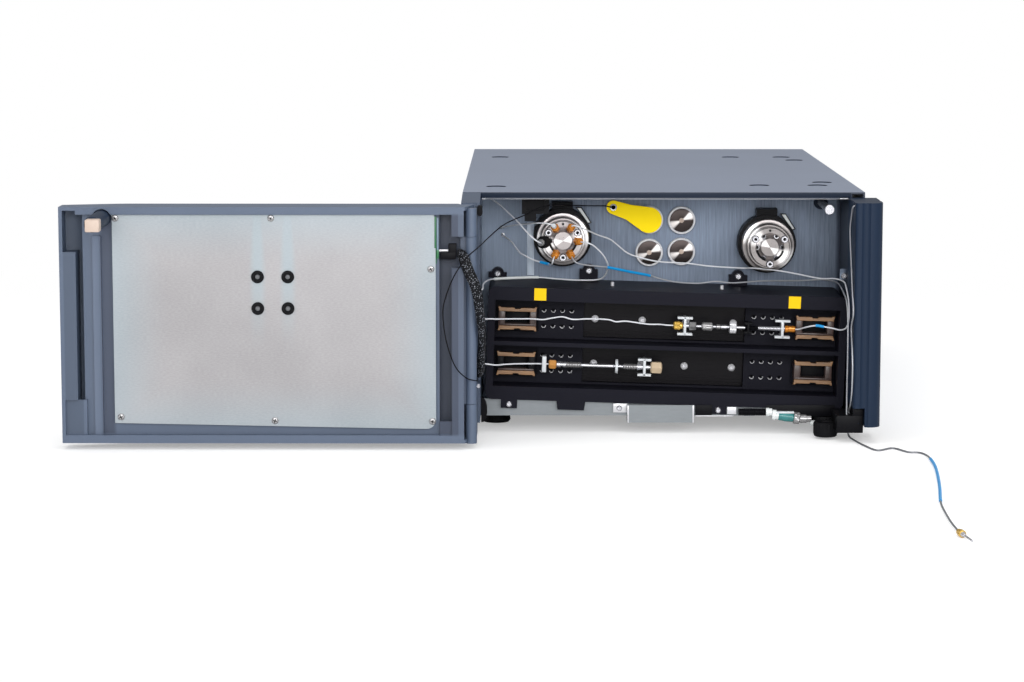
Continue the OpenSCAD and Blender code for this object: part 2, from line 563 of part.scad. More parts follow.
tag_a = [-40.8, 188.7];
tag_b = [-9.7, 177.5];
tag_r = 11.4;
module column_tag() color([0.98, 0.8, 0.05]) in_frame() slab(bay_d - 8.4, bay_d - 5.8) {
  d = unit(tag_b - tag_a);
  e = [-d[1], d[0]];
  c = -(tag_r - 5.6) / norm(tag_b - tag_a);
  q = sqrt(1 - c * c);
  difference() {
    union() {
      translate(tag_a) circle(5.6);
      translate(tag_b) circle(tag_r);
      polygon([tag_a + 5.6 * (c * d + q * e), tag_b + tag_r * (c * d + q * e),
               tag_b + tag_r * (c * d - q * e), tag_a + 5.6 * (c * d - q * e)]);
    }
    translate(tag_a) circle(2.4);
  }
}

// ---- columns: [from, to, radius] along the trough ----
col_y = 15;
col_up = 18.3;
col_low = -18.8;
module on_col(c) on_oven() translate([0, col_y, c]) children();
module upper_column() color([0.7, 0.7, 0.72]) in_frame() on_col(col_up)
  for (p = [[14.2, 19.5, 1.5], [25.7, 30.5, 1.4], [40.2, 43, 1.4], [46.8, 54.2, 1.4],
            [60.4, 68, 1.5], [68, 79.2, 1.7], [79.2, 102.1, 1.9]]) xcyl(p[0], p[1], p[2]);
module upper_fittings() color([0.8, 0.62, 0.25]) in_frame() on_col(col_up) {
  translate([5.9, 0, 0]) rotate([0, 90, 0]) cylinder(h = 8.3, r = 3.6, $fn = 6);
  translate([19.5, 0, 0]) rotate([0, 90, 0]) cylinder(h = 6.2, r = 4.1, $fn = 6);
  translate([30.5, 0, 0]) rotate([0, 90, 0]) cylinder(h = 9.7, r = 3.8, $fn = 6);
  xcyl(43, 46.8, 2.2);
  xcyl(54.2, 60.4, 5.3);
  xcyl(102.1, 111.2, 2.8);
}
module guard_column() color([0.72, 0.72, 0.74]) in_frame() on_col(col_low)
  for (p = [[-93.6, -72.3, 2.3], [-72.3, -44.2, 1.45], [-44.2, -35.6, 1.6],
            [-35.6, -24.3, 2.2], [-24.3, -12.3, 1.6]]) xcyl(p[0], p[1], p[2]);
module guard_fittings() color([0.75, 0.6, 0.4]) in_frame() on_col(col_low) {
  translate([-100.2, 0, 0]) rotate([0, 90, 0]) cylinder(h = 6.6, r = 4.1, $fn = 6);
  box(-12.3, -2.3, -5, 5, -5, 5);
}
module column_clamps() color([0.85, 0.87, 0.9]) in_frame() {
  on_col(col_up) for (a = [16, 70.5]) difference() {
    union() {
      box(a - 0.8, a + 0.8, -4, 12, -7.8, 7.8);
      for (u = [-1, 1]) translate([0, 0, u * 7]) box(a - 6.5, a + 6.5, -4, 4, -0.8, 0.8);
    }
    xcyl(a - 9, a + 9, 1.75);
  }
  on_col(col_up) difference() {
    union() {
      box(99.2, 100.8, -4, 12, -7.8, 7.8);
      for (u = [-1, 1]) translate([0, 0, u * 7]) box(93.5, 106.5, -4, 4, -0.8, 0.8);
    }
    xcyl(90, 112, 2);
  }
  on_col(col_low) difference() {
    union() {
      box(-18.4, -16.8, -4, 12, -7.4, 7.4);
      for (u = [-1, 1]) translate([0, 0, u * 6.6]) box(-24.2, -12.5, -4, 4, -0.8, 0.8);
    }
    xcyl(-30, -10, 1.7);
  }
  on_col(col_low) difference() {
    box(-106, -102.3, -3, 12, -7, 7);
    xcyl(-107, -101, 1.4);
  }
  on_col(col_low) difference() {
    xcyl(-42.6, -40.6, 6.2);
    xcyl(-43, -40, 1.7);
    translate([0, 0, 4]) xcyl(-43, -40, 3);
  }
}

// ---- lines ----
module valve_lines() color([0.7, 0.7, 0.72]) in_frame() {
  line(wide(wash_pts));
  line(wide(feed_pts), to = 6);
  line(wide(feed_pts), from = 7);
  line(wide(loop_pts), to = 10);
  line(wide(loop_pts), from = 12);
}
module inlet_lines() color([0.7, 0.7, 0.72]) in_frame() {
  line(wide(inlet_pts));
  line(wide(upper_pts));
  line(wide(lower_pts));
}
module right_lines() color([0.7, 0.7, 0.72]) in_frame() {
  line(wide(column_pts), to = 26);
  line(wide(column_pts), from = 27);
  line(wide(waste_pts), to = 5);
  line(wide(waste_pts), from = 7);
  line(wide(side_pts));
}
module line_sleeves() color([0.1, 0.5, 0.75]) in_frame() {
  line(wide(feed_pts), from = 6, to = 7, r = sleeve_r);
  line(wide(loop_pts), from = 10, to = 12, r = sleeve_r);
  line(wide(column_pts), from = 26, to = 27, r = sleeve_r);
  line(wide(waste_pts), from = 5, to = 7, r = sleeve_r);
}

// ---- bottom front ----
module drip_bracket() color([0.66, 0.68, 0.7]) in_frame() {
  box(-30.2, 27.4, -1, 0.1, 9, 24.3);
  box(-30.2, 27.4, 0.1 - eps, 14, 9, 10.2);
  box(-42.4, -30.2 + eps, 2.8, 3.9, 17.2, 25.4);
  for (x = [-30.2, 26.2]) {
    box(x, x + 1.2, 0.1 - eps, 3.9, 9, 23);
    box(x, x + 1.2, 3.9 - eps, 14, 9, foot_h);
  }
}
module drain_tube() color([0.75, 0.8, 0.82]) in_frame() translate([wx, -2, drain_z]) difference() {
  xcyl(65.2, 90, 3);
  xcyl(64, 91, 2.2);
}
module drain_fitting() color([0.88, 0.92, 0.92]) in_frame() {
  translate([wx, -2, drain_z]) xcyl(86, 94.5, 2.2);
  translate([94 + wx, -2, 16.4]) rotate([0, 8, 0]) difference() {
    union() {
      xcyl(0, 6, 4.6);
      xcyl(6 - eps, 12, 3.2, 4.2);
      xcyl(12 - eps, 18, 3.2, 4.2);
      xcyl(18 - eps, 26, 3.4);
    }
    xcyl(10, 27, 1.6);
  }
  translate([wx, -2, 12.8]) xcyl(119.2, 128, 4);
  translate([wx, -2, 9]) xcyl(127, 131.4, 2.4);
}
module drain_cup() color([0.12, 0.12, 0.13]) in_frame() translate([hx - 31.5, 4, 0]) difference() {
  union() {
    cylinder(h = 4, r1 = 7.4, r2 = 9.4);
    translate([0, 0, 4 - eps]) cylinder(h = foot_h - 4, r = 9.4);
  }
  translate([0, 0, 5]) cylinder(h = 20, r = 7.6);
}
module outlet_clip() color([0.06, 0.06, 0.07]) in_frame() difference() {
  union() {
    box(125, trim_x0 + 9.6, -50, -8, 8, 21);
    box(trim_x0 + 0.6, trim_x0 + 9.6, -50, -8, 21 - eps, 29);
  }
  translate([153.5, -45, 14]) cylinder(h = 8, r = 1.1);
  translate([156.3, -36, 14]) cylinder(h = 8, r = 1.1);
  translate([156.3, -33, 7]) cylinder(h = 7, r = 1.1);
  box(129, 147, -46, -12, 7, 18);
}
module outlet_capillary() color([0.72, 0.72, 0.74]) in_frame() {
  line(wide(outlet_pts), to = 10);
  line(wide(outlet_pts), from = 14);
}
module outlet_sleeve() color([0.1, 0.5, 0.75]) in_frame()
  line(wide(outlet_pts), from = 10, to = 14, r = sleeve_r);
module outlet_fitting() color([0.85, 0.7, 0.35]) in_frame() {
  tip = wide(outlet_pts)[len(outlet_pts) - 1];
  translate(tip) rotate([91, 0, 9]) {
    cylinder(h = 3.2, r = 2.2);
    translate([0, 0, 3.2 - eps]) cylinder(h = 6.4, r = 2.75);
    translate([0, 0, 9.6 - eps]) cylinder(h = 4.4, r1 = 2, r2 = 1);
    translate([0, 0, 14 - eps]) cylinder(h = 17.6, r = 0.8);
  }
}

// ---- inside and rear ----
module power_supply() color([0.6, 0.62, 0.64]) in_frame() {
  difference() {
    box(6.5 - hx, 101.5 - hx, cover_d - 197, cover_d - 57, pan_z, pan_z + 61.9);
    for (y = [cover_d - 182 : 10 : cover_d - 72]) box(5.5 - hx, 8.5 - hx, y, y + 4, 30, 66);
  }
}
module main_board() color([0.1, 0.35, 0.2]) in_frame() {
  board_z = pan_z + 7.9;
  box(-40, hx - 31.5, 180, cover_d - 157, board_z, board_z + 1.6);
  for (x = [-32, hx - 39.5], y = [188, cover_d - 165]) translate([x, y, pan_z])
    cylinder(h = 7.9 + eps, r = 3);
  box(0, 34, 230, 264, board_z + 1.5, board_z + 5);
  box(60, 110, 300, 330, board_z + 1.5, board_z + 20);
  for (x = [-30 : 14 : 26]) translate([x, cover_d - 187, board_z + 1.5]) cylinder(h = 22, r = 5);
}
module fan_frame() color([0.09, 0.09, 0.1]) in_frame() {
  y1 = rear_y - sheet_t;
  translate([fan_at[0], 0, fan_at[1]]) difference() {
    union() {
      slab(y1 - 25, y1) difference() {
        round_rect(80, 80, 4);
        circle(blade_r + 2);
      }
      ycyl(y1 - 3, y1, 14);
      for (a = [45, 135]) rotate([0, a, 0]) box(-2, 2, y1 - 3, y1, -blade_r - 3, blade_r + 3);
    }
    ycyl(y1 - 4, y1 + 1, 1.5 + play);
  }
}
module fan_rotor() color([0.12, 0.12, 0.13]) in_frame() {
  y1 = rear_y - sheet_t;
  translate([fan_at[0], 0, fan_at[1]]) {
    ycyl(y1 - 23, y1 - 4, 14);
    ycyl(y1 - 4 - eps, y1 - 0.5, 1.5);
    for (a = [0 : 360 / 7 : 359]) rotate([0, a, 0])
      translate([0, y1 - 13.5, 0]) rotate([0, 0, 35])
        box(-1, 1, -8, 8, 13, blade_r);
  }
}
rocker_w = 13;
rocker_h = 20;
rocker_x = 16;
module on_rocker() translate([inlet_at[0] + rocker_x, rear_y - 0.5, inlet_at[1]]) children();
module mains_inlet() color([0.06, 0.06, 0.07]) in_frame() {
  difference() {
    translate([inlet_at[0], 0, inlet_at[1]]) {
      box(-26, 26, rear_y - 28, rear_y, -13, 13);
      slab(rear_y - eps, rear_y + 3) round_rect(60, 34, 3);
    }
    translate([inlet_at[0] - 9, 0, inlet_at[1]]) difference() {
      slab(rear_y - 16, rear_y + 4) polygon([[-13, -9], [13, -9], [13, 5], [9, 9], [-9, 9], [-13, 5]]);
      for (p = [[-7, 0], [0, 3], [7, 0]]) translate([p[0], 0, p[1]])
        box(-1.2, 1.2, rear_y - 17, rear_y - 2, -3, 3);
    }
    on_rocker() {
      box(-rocker_w / 2, rocker_w / 2, -10.5, 8, -rocker_h / 2, rocker_h / 2);
      xcyl(-rocker_w / 2 - 1, rocker_w / 2 + 1, 1.5 + play);
    }
  }
}
module power_rocker() color([0.08, 0.08, 0.09]) in_frame() on_rocker() rotate([rocker_a, 0, 0]) {
  intersection() {
    translate([-rocker_w / 2 + 0.3, 0, 0]) rotate([90, 0, 90]) linear_extrude(rocker_w - 0.6)
      polygon([[1.6, 0], [3.2, 9.1], [-1.5, 9.1], [-7, 3], [-7, -3], [-1.5, -9.1], [3.2, -9.1]]);
    xcyl(-10, 10, 9.6);
  }
  xcyl(-rocker_w / 2 - 0.8, rocker_w / 2 + 0.8, 1.5);
}
module rear_sockets() color([0.25, 0.26, 0.28]) in_frame() {
  for (p = socket_at) translate([p[0], 0, p[1]]) difference() {
    union() {
      box(-8, 8, rear_y - 14, rear_y, -7, 7);
      box(-9.5, 9.5, rear_y - eps, rear_y + 1.2, -8.5, 8.5);
    }
    box(-6, 6, rear_y - 11, rear_y + 2, -4.5, 4);
    box(-2, 2, rear_y - 11, rear_y + 2, -6.5, -4);
  }
  translate([serial_at[0], 0, serial_at[1]]) {
    box(-13, 13, rear_y - 10, rear_y, -5, 5);
    slab(rear_y - eps, rear_y + 1.2) round_rect(36, 13, 2);
    slab(rear_y, rear_y + 6) polygon([[-8.5, 4], [8.5, 4], [7.3, -4], [-7.3, -4]]);
    for (s = [-1, 1]) translate([s * 14.5, 0, 0]) rotate([-90, 0, 0]) translate([0, 0, rear_y])
      cylinder(h = 5, r = 2.8, $fn = 6);
  }
}

// ---- door, seen from its hinge axis, modelled open ----
crown_y = rim_y + door_crown;
crown_r = 784;
corner_r = 26;
hinge_side = -5.9;
crown_side = 9.4;            // the crown keeps clear of the cheek
tail_y = 20.3;
module door_plan(inset, front) intersection() {
  translate([-110, crown_y - crown_r]) circle(crown_r - inset, $fn = 96);
  translate([-door_w + inset, front]) square([door_w + hinge_side - 2 * inset, 90]);
  union() {
    translate([-door_w, front]) square([door_w - crown_side - corner_r, 90]);
    translate([-door_w, front]) square([door_w, tail_y - inset - front]);
    translate([-crown_side - corner_r, 17]) circle(corner_r - inset);
  }
}
module door_side(inset, front) {
  z0 = door_z0 + inset;
  z1 = door_z1 - inset;
  r = edge_r - inset;
  y1 = crown_y - inset;
  translate([front, z0]) square([y1 - r - front, z1 - z0]);
  translate([front, z0 + r]) square([y1 - front, z1 - z0 - 2 * r]);
  for (z = [z0 + r, z1 - r]) translate([y1 - r, z]) circle(r);
}
module door_solid(inset, front) intersection() {
  linear_extrude(400) door_plan(inset, front);
  translate([-door_w - 5, 0, 0]) rotate([90, 0, 90]) linear_extrude(door_w + 10)
    door_side(inset, front);
}
floor_y = -3;
barrel_z = [knuckle_z[1] + 0.3, knuckle_z[2] - 0.3];
module door_shell() color([0.35, 0.4, 0.49]) in_frame() on_door() difference() {
  union() {
    difference() {
      door_solid(0, rim_y);
      door_solid(door_wall, rim_y - 1);
    }
    intersection() {
      door_solid(door_wall - 0.5, rim_y);
      union() {
        // floor behind the inner panel, side wall, ridge
        box(-319.2, -26, floor_y, floor_y + 2.5, door_z0, door_z1);
        box(-321.2, -319.2 + eps, floor_y, 24, door_z0, door_z1);
        box(-28, -26, floor_y, 30, door_z0, door_z1);
        box(-26 - eps, -9.5, 9, 11, door_z0, door_z1);
        box(-312.9, -305.9, floor_y - 3, floor_y + eps, door_z0, 178);
        // grip and the ledge under it
        box(-door_w, -326.2, rim_y, 12, 41.5, 165);
        box(-door_w, -319.2, -7, -4, door_z0, 41.5);
        // lips along the rim
        box(-326, -13, rim_y, floor_y, door_z1 - 6.3, door_z1);
        box(-door_w, -8, rim_y, -5, door_z0, door_z0 + 6.8);
        box(-16, -5.9, rim_y, -6, door_z0, door_z1);
        box(-26, -8, -8, -5, door_z0, 23.7);
      }
    }
    // top and bottom walls run on to the tail behind the barrel
    for (z = [door_z0, door_z1 - door_wall]) translate([0, 0, z]) linear_extrude(door_wall)
      polygon([[-9, rim_y], [-5, rim_y], [3.1, tail_y], [-9, tail_y]]);
    box(-10, 3.1, tail_y - 2.3, tail_y, door_z0, door_z1);
    // barrel and web
    translate([0, 0, barrel_z[0]]) cylinder(h = barrel_z[1] - barrel_z[0], r = barrel_r);
    box(-7.5, -3, -1.5, 1.5, barrel_z[0], barrel_z[1]);
    for (p = door_screw_at) translate([-p[0], 0, p[1]]) ycyl(-5, floor_y + eps, 3.5);
  }
  translate([0, 0, barrel_z[0] - 1]) cylinder(h = 150, r = pin_r + play);
  translate([0, 0, knuckle_z[2] - 0.3]) cylinder(h = knuckle_z[3] - knuckle_z[2] + 0.6,
                                                 r = barrel_r + 0.3);
  translate([0, 0, 4]) cylinder(h = barrel_z[0] - 4, r = barrel_r + 0.3);
  box(-18, -4, -11, 1, 152, 178);
  translate([latch_x - hinge_x, 0, catch_z]) ycyl(-12, floor_y, 8);
}

module door_panel() color([0.74, 0.74, 0.74]) in_frame() on_door()
  slab(-5 - panel_t, -5) difference() {
    polygon([[-296.2, door_z1 - 6.7], [-29.2, door_z1 - 6.7], [-29.2, 17], [-296.2, 22]]);
    difference() {
      translate([-37.2, 16]) square([9, 9.2]);
      translate([-37.2, 25.2]) circle(8);
    }
    for (p = grommet_at) translate([-p[0], p[1]]) circle(2.5);
    translate([-30.2, door_z1 - 34.3]) square([5, 40]);
  }

module door_screws() color([0.78, 0.78, 0.8]) in_frame() on_door()
  for (p = door_screw_at) translate([-p[0], -5 - panel_t, p[1]]) pan_screw(3);

module door_grommets() color([0.06, 0.06, 0.06]) in_frame() on_door()
  for (p = grommet_at) translate([-p[0], 0, p[1]]) {
    difference() {
      union() {
        ycyl(-5 - panel_t - 1.2, -5 - panel_t, 5.3);
        ycyl(-5 - panel_t - 2, -5 - panel_t - 1.2 + eps, 4.2, 5.3);
      }
      ycyl(-12, 0, 1.8);
    }
    ycyl(-5 - panel_t - 2.4, floor_y, 1.6);
  }

module latch_block() color([0.8, 0.74, 0.68]) in_frame()
  translate([latch_x, 0, catch_z]) {
    translate([0, hinge_y, 0]) ycyl(-66, floor_y, 7);
    difference() {
      box(-3.6, 7.9, tip_y, -146 + eps, -5, 5);
      for (x = [-3.6, 7.9]) translate([x, tip_y, 0]) rotate([0, 0, 45])
        box(-1, 1, -1, 1, -6, 6);
    }
  }

module door_board() color([0.12, 0.4, 0.22]) in_frame() on_door() {
  box(-68, -26.6, -4.7, -3.2, door_z1 - 47.3, door_z1 - 8.3);
  box(-26.6 - eps, -18.7 + eps, -5.4, -2.4, 164.6, 167.4);
  box(-18.7, -12, -7, -1, 160.5, 172);
}

module door_harness() color([0.05, 0.05, 0.06]) in_frame()
  {
  p = wide(harness_pts);
  sweep(concat([p[0] - [0.8, 0, 0]], smooth(p, 2)), harness_r, 0, 2 * len(p) - 1, 12);
}
module tag_cord() color([0.06, 0.06, 0.07]) in_frame() line(wide(tag_pts), r = 0.75);

top_cover();
base_pan();
front_bulkhead();
rear_panel();
left_cheek();
right_trim();
feet();
hinge_brackets();
hinge_pins();
door_bumper();
guide_bracket();
catch_pin();
oven_housing();
oven_insulation();
heater_plates();
column_clips();
oven_squares();
case_screws();
left_stator();
right_stator();
valve_collars();
valve_drives();
port_nuts();
blank_nut();
tag_readers();
column_tag();
upper_column();
upper_fittings();
guard_column();
guard_fittings();
column_clamps();
valve_lines();
inlet_lines();
right_lines();
line_sleeves();
drip_bracket();
drain_tube();
drain_fitting();
drain_cup();
outlet_clip();
outlet_capillary();
outlet_sleeve();
outlet_fitting();
power_supply();
main_board();
fan_frame();
mains_inlet();
rear_sockets();
left_rotor();
right_rotor();
fan_rotor();
power_rocker();
door_shell();
door_panel();
door_screws();
door_grommets();
latch_block();
door_board();
door_harness();
tag_cord();
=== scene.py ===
import bpy, bmesh, math, json
from mathutils import Matrix, Vector

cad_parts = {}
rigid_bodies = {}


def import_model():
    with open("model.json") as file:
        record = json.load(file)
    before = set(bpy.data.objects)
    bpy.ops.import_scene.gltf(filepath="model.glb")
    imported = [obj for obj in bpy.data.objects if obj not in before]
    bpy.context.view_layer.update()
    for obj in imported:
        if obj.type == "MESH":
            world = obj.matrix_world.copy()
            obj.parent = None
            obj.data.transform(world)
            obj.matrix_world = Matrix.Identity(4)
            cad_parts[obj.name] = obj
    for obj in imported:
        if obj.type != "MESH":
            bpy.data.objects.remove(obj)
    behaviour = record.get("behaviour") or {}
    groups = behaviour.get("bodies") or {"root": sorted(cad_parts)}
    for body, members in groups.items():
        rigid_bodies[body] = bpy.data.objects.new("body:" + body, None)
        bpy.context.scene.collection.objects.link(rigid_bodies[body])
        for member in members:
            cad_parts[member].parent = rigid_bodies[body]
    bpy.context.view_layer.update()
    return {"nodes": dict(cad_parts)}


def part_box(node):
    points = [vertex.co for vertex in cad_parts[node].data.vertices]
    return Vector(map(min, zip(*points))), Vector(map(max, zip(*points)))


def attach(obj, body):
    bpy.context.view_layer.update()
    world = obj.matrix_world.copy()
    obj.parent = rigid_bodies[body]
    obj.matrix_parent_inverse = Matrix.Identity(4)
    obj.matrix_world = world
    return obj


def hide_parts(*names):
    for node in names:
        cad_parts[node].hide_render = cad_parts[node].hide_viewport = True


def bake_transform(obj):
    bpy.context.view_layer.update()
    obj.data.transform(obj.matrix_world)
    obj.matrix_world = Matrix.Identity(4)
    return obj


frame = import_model()
nodes = {o.name: o for o in bpy.data.objects if o.name in frame["nodes"]}
ops = bpy.ops
scene = bpy.context.scene

# The case is drawn in millimetres from the middle of its front edge; the row frame is in metres.
ORIGIN = Vector((-160.8, 209.5, 0.0))
TILT = math.radians(1.8)
HINGE = (-162.8, -80.0)
VALVES = {-1: (-85.456, 163.111), 1: (93.456, 157.489)}


def at(x, y, z):
    return (Vector((x, y, z)) - ORIGIN) / 1000


CASE = Matrix.Translation(at(0, 0, 0))
OVEN = Matrix.Translation(at(3, 0, 73.4)) @ Matrix.Rotation(TILT, 4, "Y")
DOOR = Matrix.Translation(at(*HINGE, 0))


def shift(x, y, z):
    return Matrix.Translation(Vector((x, y, z)) / 1000)


def turn(degrees, axis):
    return Matrix.Rotation(math.radians(degrees), 4, axis)


ALONG_X = turn(90, "Y")        # a turned part's own axis laid along X
TO_FRONT = turn(90, "X")       # and pointed out of the bay


# ---------------------------------------------------------------- camera
camera_data = bpy.data.cameras.new("studio_camera")
camera_data.lens = 103.3        # mm, on a 36 mm wide frame
camera_data.sensor_width = 36
camera_data.clip_end = 50
camera = bpy.data.objects.new("studio_camera", camera_data)
scene.collection.objects.link(camera)
camera.location = at(-116.5, -2500, 404)
DIP, YAW = 7.39, 0.295          # degrees the camera looks down and to its left
camera.rotation_euler = (math.radians(90 - DIP), 0, math.radians(YAW))
scene.camera = camera


# ---------------------------------------------------------------- finishes
def finish_node(tree, kind, **sockets):
    node = tree.nodes.new(kind)
    for key, value in sockets.items():
        node.inputs[key.replace("_", " ")].default_value = value
    return node


def finish(name, colour, rough=0.5, metal=0.0, grain=(400, 400, 400), depth=0.04,
           shade=0.12, rough_spread=0.08, transmission=0.0, second=None, spec=None, glow=0.0):
    """A surface with its own grain: noise stretched by grain sets bump, tone and roughness."""
    material = bpy.data.materials.new(name)
    material.use_nodes = True
    tree = material.node_tree
    shader = tree.nodes["Principled BSDF"]
    link = tree.links.new
    where = tree.nodes.new("ShaderNodeTexCoord")
    stretch = finish_node(tree, "ShaderNodeMapping", Scale=grain)
    link(where.outputs["Object"], stretch.inputs["Vector"])
    fine = finish_node(tree, "ShaderNodeTexNoise", Scale=1.0, Detail=4.0, Roughness=0.6)
    link(stretch.outputs["Vector"], fine.inputs["Vector"])
    broad = finish_node(tree, "ShaderNodeTexNoise", Scale=9.0, Detail=3.0)
    link(where.outputs["Object"], broad.inputs["Vector"])
    tone = tree.nodes.new("ShaderNodeValToRGB")
    low = [c * (1 - shade) for c in colour]
    high = [min(1, c * (1 + shade)) for c in (second or colour)]
    tone.color_ramp.elements[0].position = 0.3
    tone.color_ramp.elements[1].position = 0.7
    tone.color_ramp.elements[0].color = (*low, 1)
    tone.color_ramp.elements[1].color = (*high, 1)
    both = tree.nodes.new("ShaderNodeMix")
    both.data_type = "FLOAT"
    both.inputs["Factor"].default_value = 0.55
    link(fine.outputs["Fac"], both.inputs["A"])
    link(broad.outputs["Fac"], both.inputs["B"])
    link(both.outputs["Result"], tone.inputs["Fac"])
    link(tone.outputs["Color"], shader.inputs["Base Color"])
    spread = tree.nodes.new("ShaderNodeMapRange")
    spread.inputs["To Min"].default_value = max(0.02, rough - rough_spread)
    spread.inputs["To Max"].default_value = min(1, rough + rough_spread)
    link(fine.outputs["Fac"], spread.inputs["Value"])
    link(spread.outputs["Result"], shader.inputs["Roughness"])
    bump = finish_node(tree, "ShaderNodeBump", Strength=0.5, Distance=depth / 1000)
    link(fine.outputs["Fac"], bump.inputs["Height"])
    link(bump.outputs["Normal"], shader.inputs["Normal"])
    shader.inputs["Metallic"].default_value = metal
    if spec is not None:
        shader.inputs["Specular IOR Level"].default_value = spec
    if glow:
        shader.inputs["Emission Color"].default_value = (*colour, 1)
        shader.inputs["Emission Strength"].default_value = glow
    if transmission:
        shader.inputs["Transmission Weight"].default_value = transmission
    return material


def tone(r, g, b):
    """A screen colour, 0 to 255, as the light it stands for."""
    return tuple((c / 255 / 12.92) if c <= 10 else ((c / 255 + 0.055) / 1.055) ** 2.4
                 for c in (r, g, b))


def over(material, factor, colour):
    """Lays one more colour over a finish, where the factor is 1."""
    tree = material.node_tree
    base = tree.nodes["Principled BSDF"].inputs["Base Color"]
    mix = tree.nodes.new("ShaderNodeMix")
    mix.data_type = "RGBA"
    tree.links.new(factor, mix.inputs[0])
    tree.links.new(base.links[0].from_socket, mix.inputs[6])
    mix.inputs[7].default_value = (*colour, 1)
    tree.links.new(mix.outputs[2], base)
    return material


def place_axes(tree):
    where = tree.nodes.new("ShaderNodeTexCoord")
    axes = tree.nodes.new("ShaderNodeSeparateXYZ")
    tree.links.new(where.outputs["Object"], axes.inputs[0])
    return axes


def calc(tree, kind, a, b=None):
    node = tree.nodes.new("ShaderNodeMath")
    node.operation = kind
    for socket, value in zip(node.inputs, (a, b)):
        if value is None:
            continue
        if isinstance(value, (int, float)):
            socket.default_value = value
        else:
            tree.links.new(value, socket)
    return node.outputs[0]


def ease(tree, value, low, high):
    """0 below low, 1 above high, soft between."""
    node = tree.nodes.new("ShaderNodeMapRange")
    node.interpolation_type = "SMOOTHSTEP"
    node.inputs["From Min"].default_value = low
    node.inputs["From Max"].default_value = high
    tree.links.new(value, node.inputs["Value"])
    return node.outputs[0]


def turned_face(name, x, z, dark, light, phase=20, rough=0.3, metal=0.8, sharp=(0.35, 1.0)):
    """Metal turned about (x, z): two pale wedges of painted sheen cross the face, with fine rings
    in it.
    """
    material = finish(name, dark, rough, metal, (900, 900, 900), 0.01, 0.08)
    tree = material.node_tree
    axes = place_axes(tree)
    centre = at(x, 0, z)
    across = calc(tree, "SUBTRACT", axes.outputs[0], centre.x)
    up = calc(tree, "SUBTRACT", axes.outputs[2], centre.z)
    angle = calc(tree, "ARCTAN2", up, across)
    double = calc(tree, "MULTIPLY", calc(tree, "SUBTRACT", angle, math.radians(phase)), 2)
    painted_sheen_wedge = ease(tree, calc(tree, "COSINE", double), *sharp)
    over(material, painted_sheen_wedge, light)
    away = calc(tree, "SQRT", calc(tree, "ADD", calc(tree, "MULTIPLY", across, across),
                                   calc(tree, "MULTIPLY", up, up)))
    rings = calc(tree, "SINE", calc(tree, "MULTIPLY", away, 9000))
    return over(material, calc(tree, "MULTIPLY", ease(tree, rings, 0.2, 1.0), 0.12), dark)


paint = finish("cover_paint", tone(122, 132, 152), 0.42, 0.0, (900, 900, 900), 0.05, 0.05)
paint_tree = paint.node_tree
# painted shade: the cover's front face, ahead of its front edge, is laid over in dark navy
over(paint, calc(paint_tree, "SUBTRACT", 1.0, ease(paint_tree, place_axes(paint_tree).outputs[1],
                                                   -0.20935, -0.20915)), tone(30, 42, 62))
zinc = finish("zinc_sheet", tone(80, 90, 106), 0.42, 0.45, (800, 800, 40), 0.015, 0.2,
              second=tone(112, 124, 142))
zinc_tree = zinc.node_tree
zinc_axes = place_axes(zinc_tree)
# painted shade darkens the front bulkhead toward its right and painted light pales it toward its
# left; the rear panel stays even
front_sheet = calc(zinc_tree, "SUBTRACT", 1.0, ease(zinc_tree, zinc_axes.outputs[1], 0.0, 0.05))
painted_shade_right = ease(zinc_tree, zinc_axes.outputs[0], 0.3150, 0.3190)
over(zinc, calc(zinc_tree, "MULTIPLY", painted_shade_right, front_sheet), tone(26, 36, 54))
painted_light_left = calc(zinc_tree, "SUBTRACT", 1.0, ease(zinc_tree, zinc_axes.outputs[0], 0.03, 0.06))
painted_light_left = calc(zinc_tree, "MULTIPLY", painted_light_left, front_sheet)
over(zinc, calc(zinc_tree, "MULTIPLY", painted_light_left, 0.25), tone(140, 154, 172))
pan_zinc = finish("pan_zinc", tone(130, 135, 139), 0.42, 0.3, (120, 500, 500), 0.02, 0.1)
panel_zinc = finish("panel_zinc", tone(160, 158, 160), 0.4, 0.4, (380, 1000, 1150), 0.03, 0.22)
panel_tree = panel_zinc.node_tree
panel_axes = place_axes(panel_tree)
PANEL_X, PANEL_Z, GROMMETS_X, GROMMETS_HALF = -0.1647, 0.107, -0.1659, 0.0125
# painted sheen: the panel is laid paler and cyan toward its edges and in narrow upright bands
# beside the grommets
side_way = calc(panel_tree, "ABSOLUTE",
                calc(panel_tree, "SUBTRACT", panel_axes.outputs[0], PANEL_X))
high_way = calc(panel_tree, "ABSOLUTE",
                calc(panel_tree, "SUBTRACT", panel_axes.outputs[2], PANEL_Z))
edges = calc(panel_tree, "MAXIMUM", ease(panel_tree, side_way, 0.085, 0.142),
             ease(panel_tree, high_way, 0.045, 0.1))
pair = calc(panel_tree, "ABSOLUTE",
            calc(panel_tree, "SUBTRACT", panel_axes.outputs[0], GROMMETS_X))
pair = calc(panel_tree, "ABSOLUTE", calc(panel_tree, "SUBTRACT", pair, GROMMETS_HALF))
column = calc(panel_tree, "SUBTRACT", 1.0, ease(panel_tree, pair, 0.002, 0.008))
column = calc(panel_tree, "MULTIPLY", column, ease(panel_tree, panel_axes.outputs[2], 0.08, 0.15))
over(panel_zinc, calc(panel_tree, "MULTIPLY", calc(panel_tree, "MAXIMUM", edges, column), 0.36),
     tone(150, 178, 190))
door_paint = finish("door_plastic", tone(82, 95, 116), 0.46, 0.0, (1300, 1300, 1300), 0.05, 0.05)
door_tree = door_paint.node_tree
door_axes = place_axes(door_tree)


def band(tree, value, low, high, soft=0.001):
    """1 between low and high, with soft ends."""
    return calc(tree, "MULTIPLY", ease(tree, value, low - soft, low + soft),
                calc(tree, "SUBTRACT", 1.0, ease(tree, value, high - soft, high + soft)))
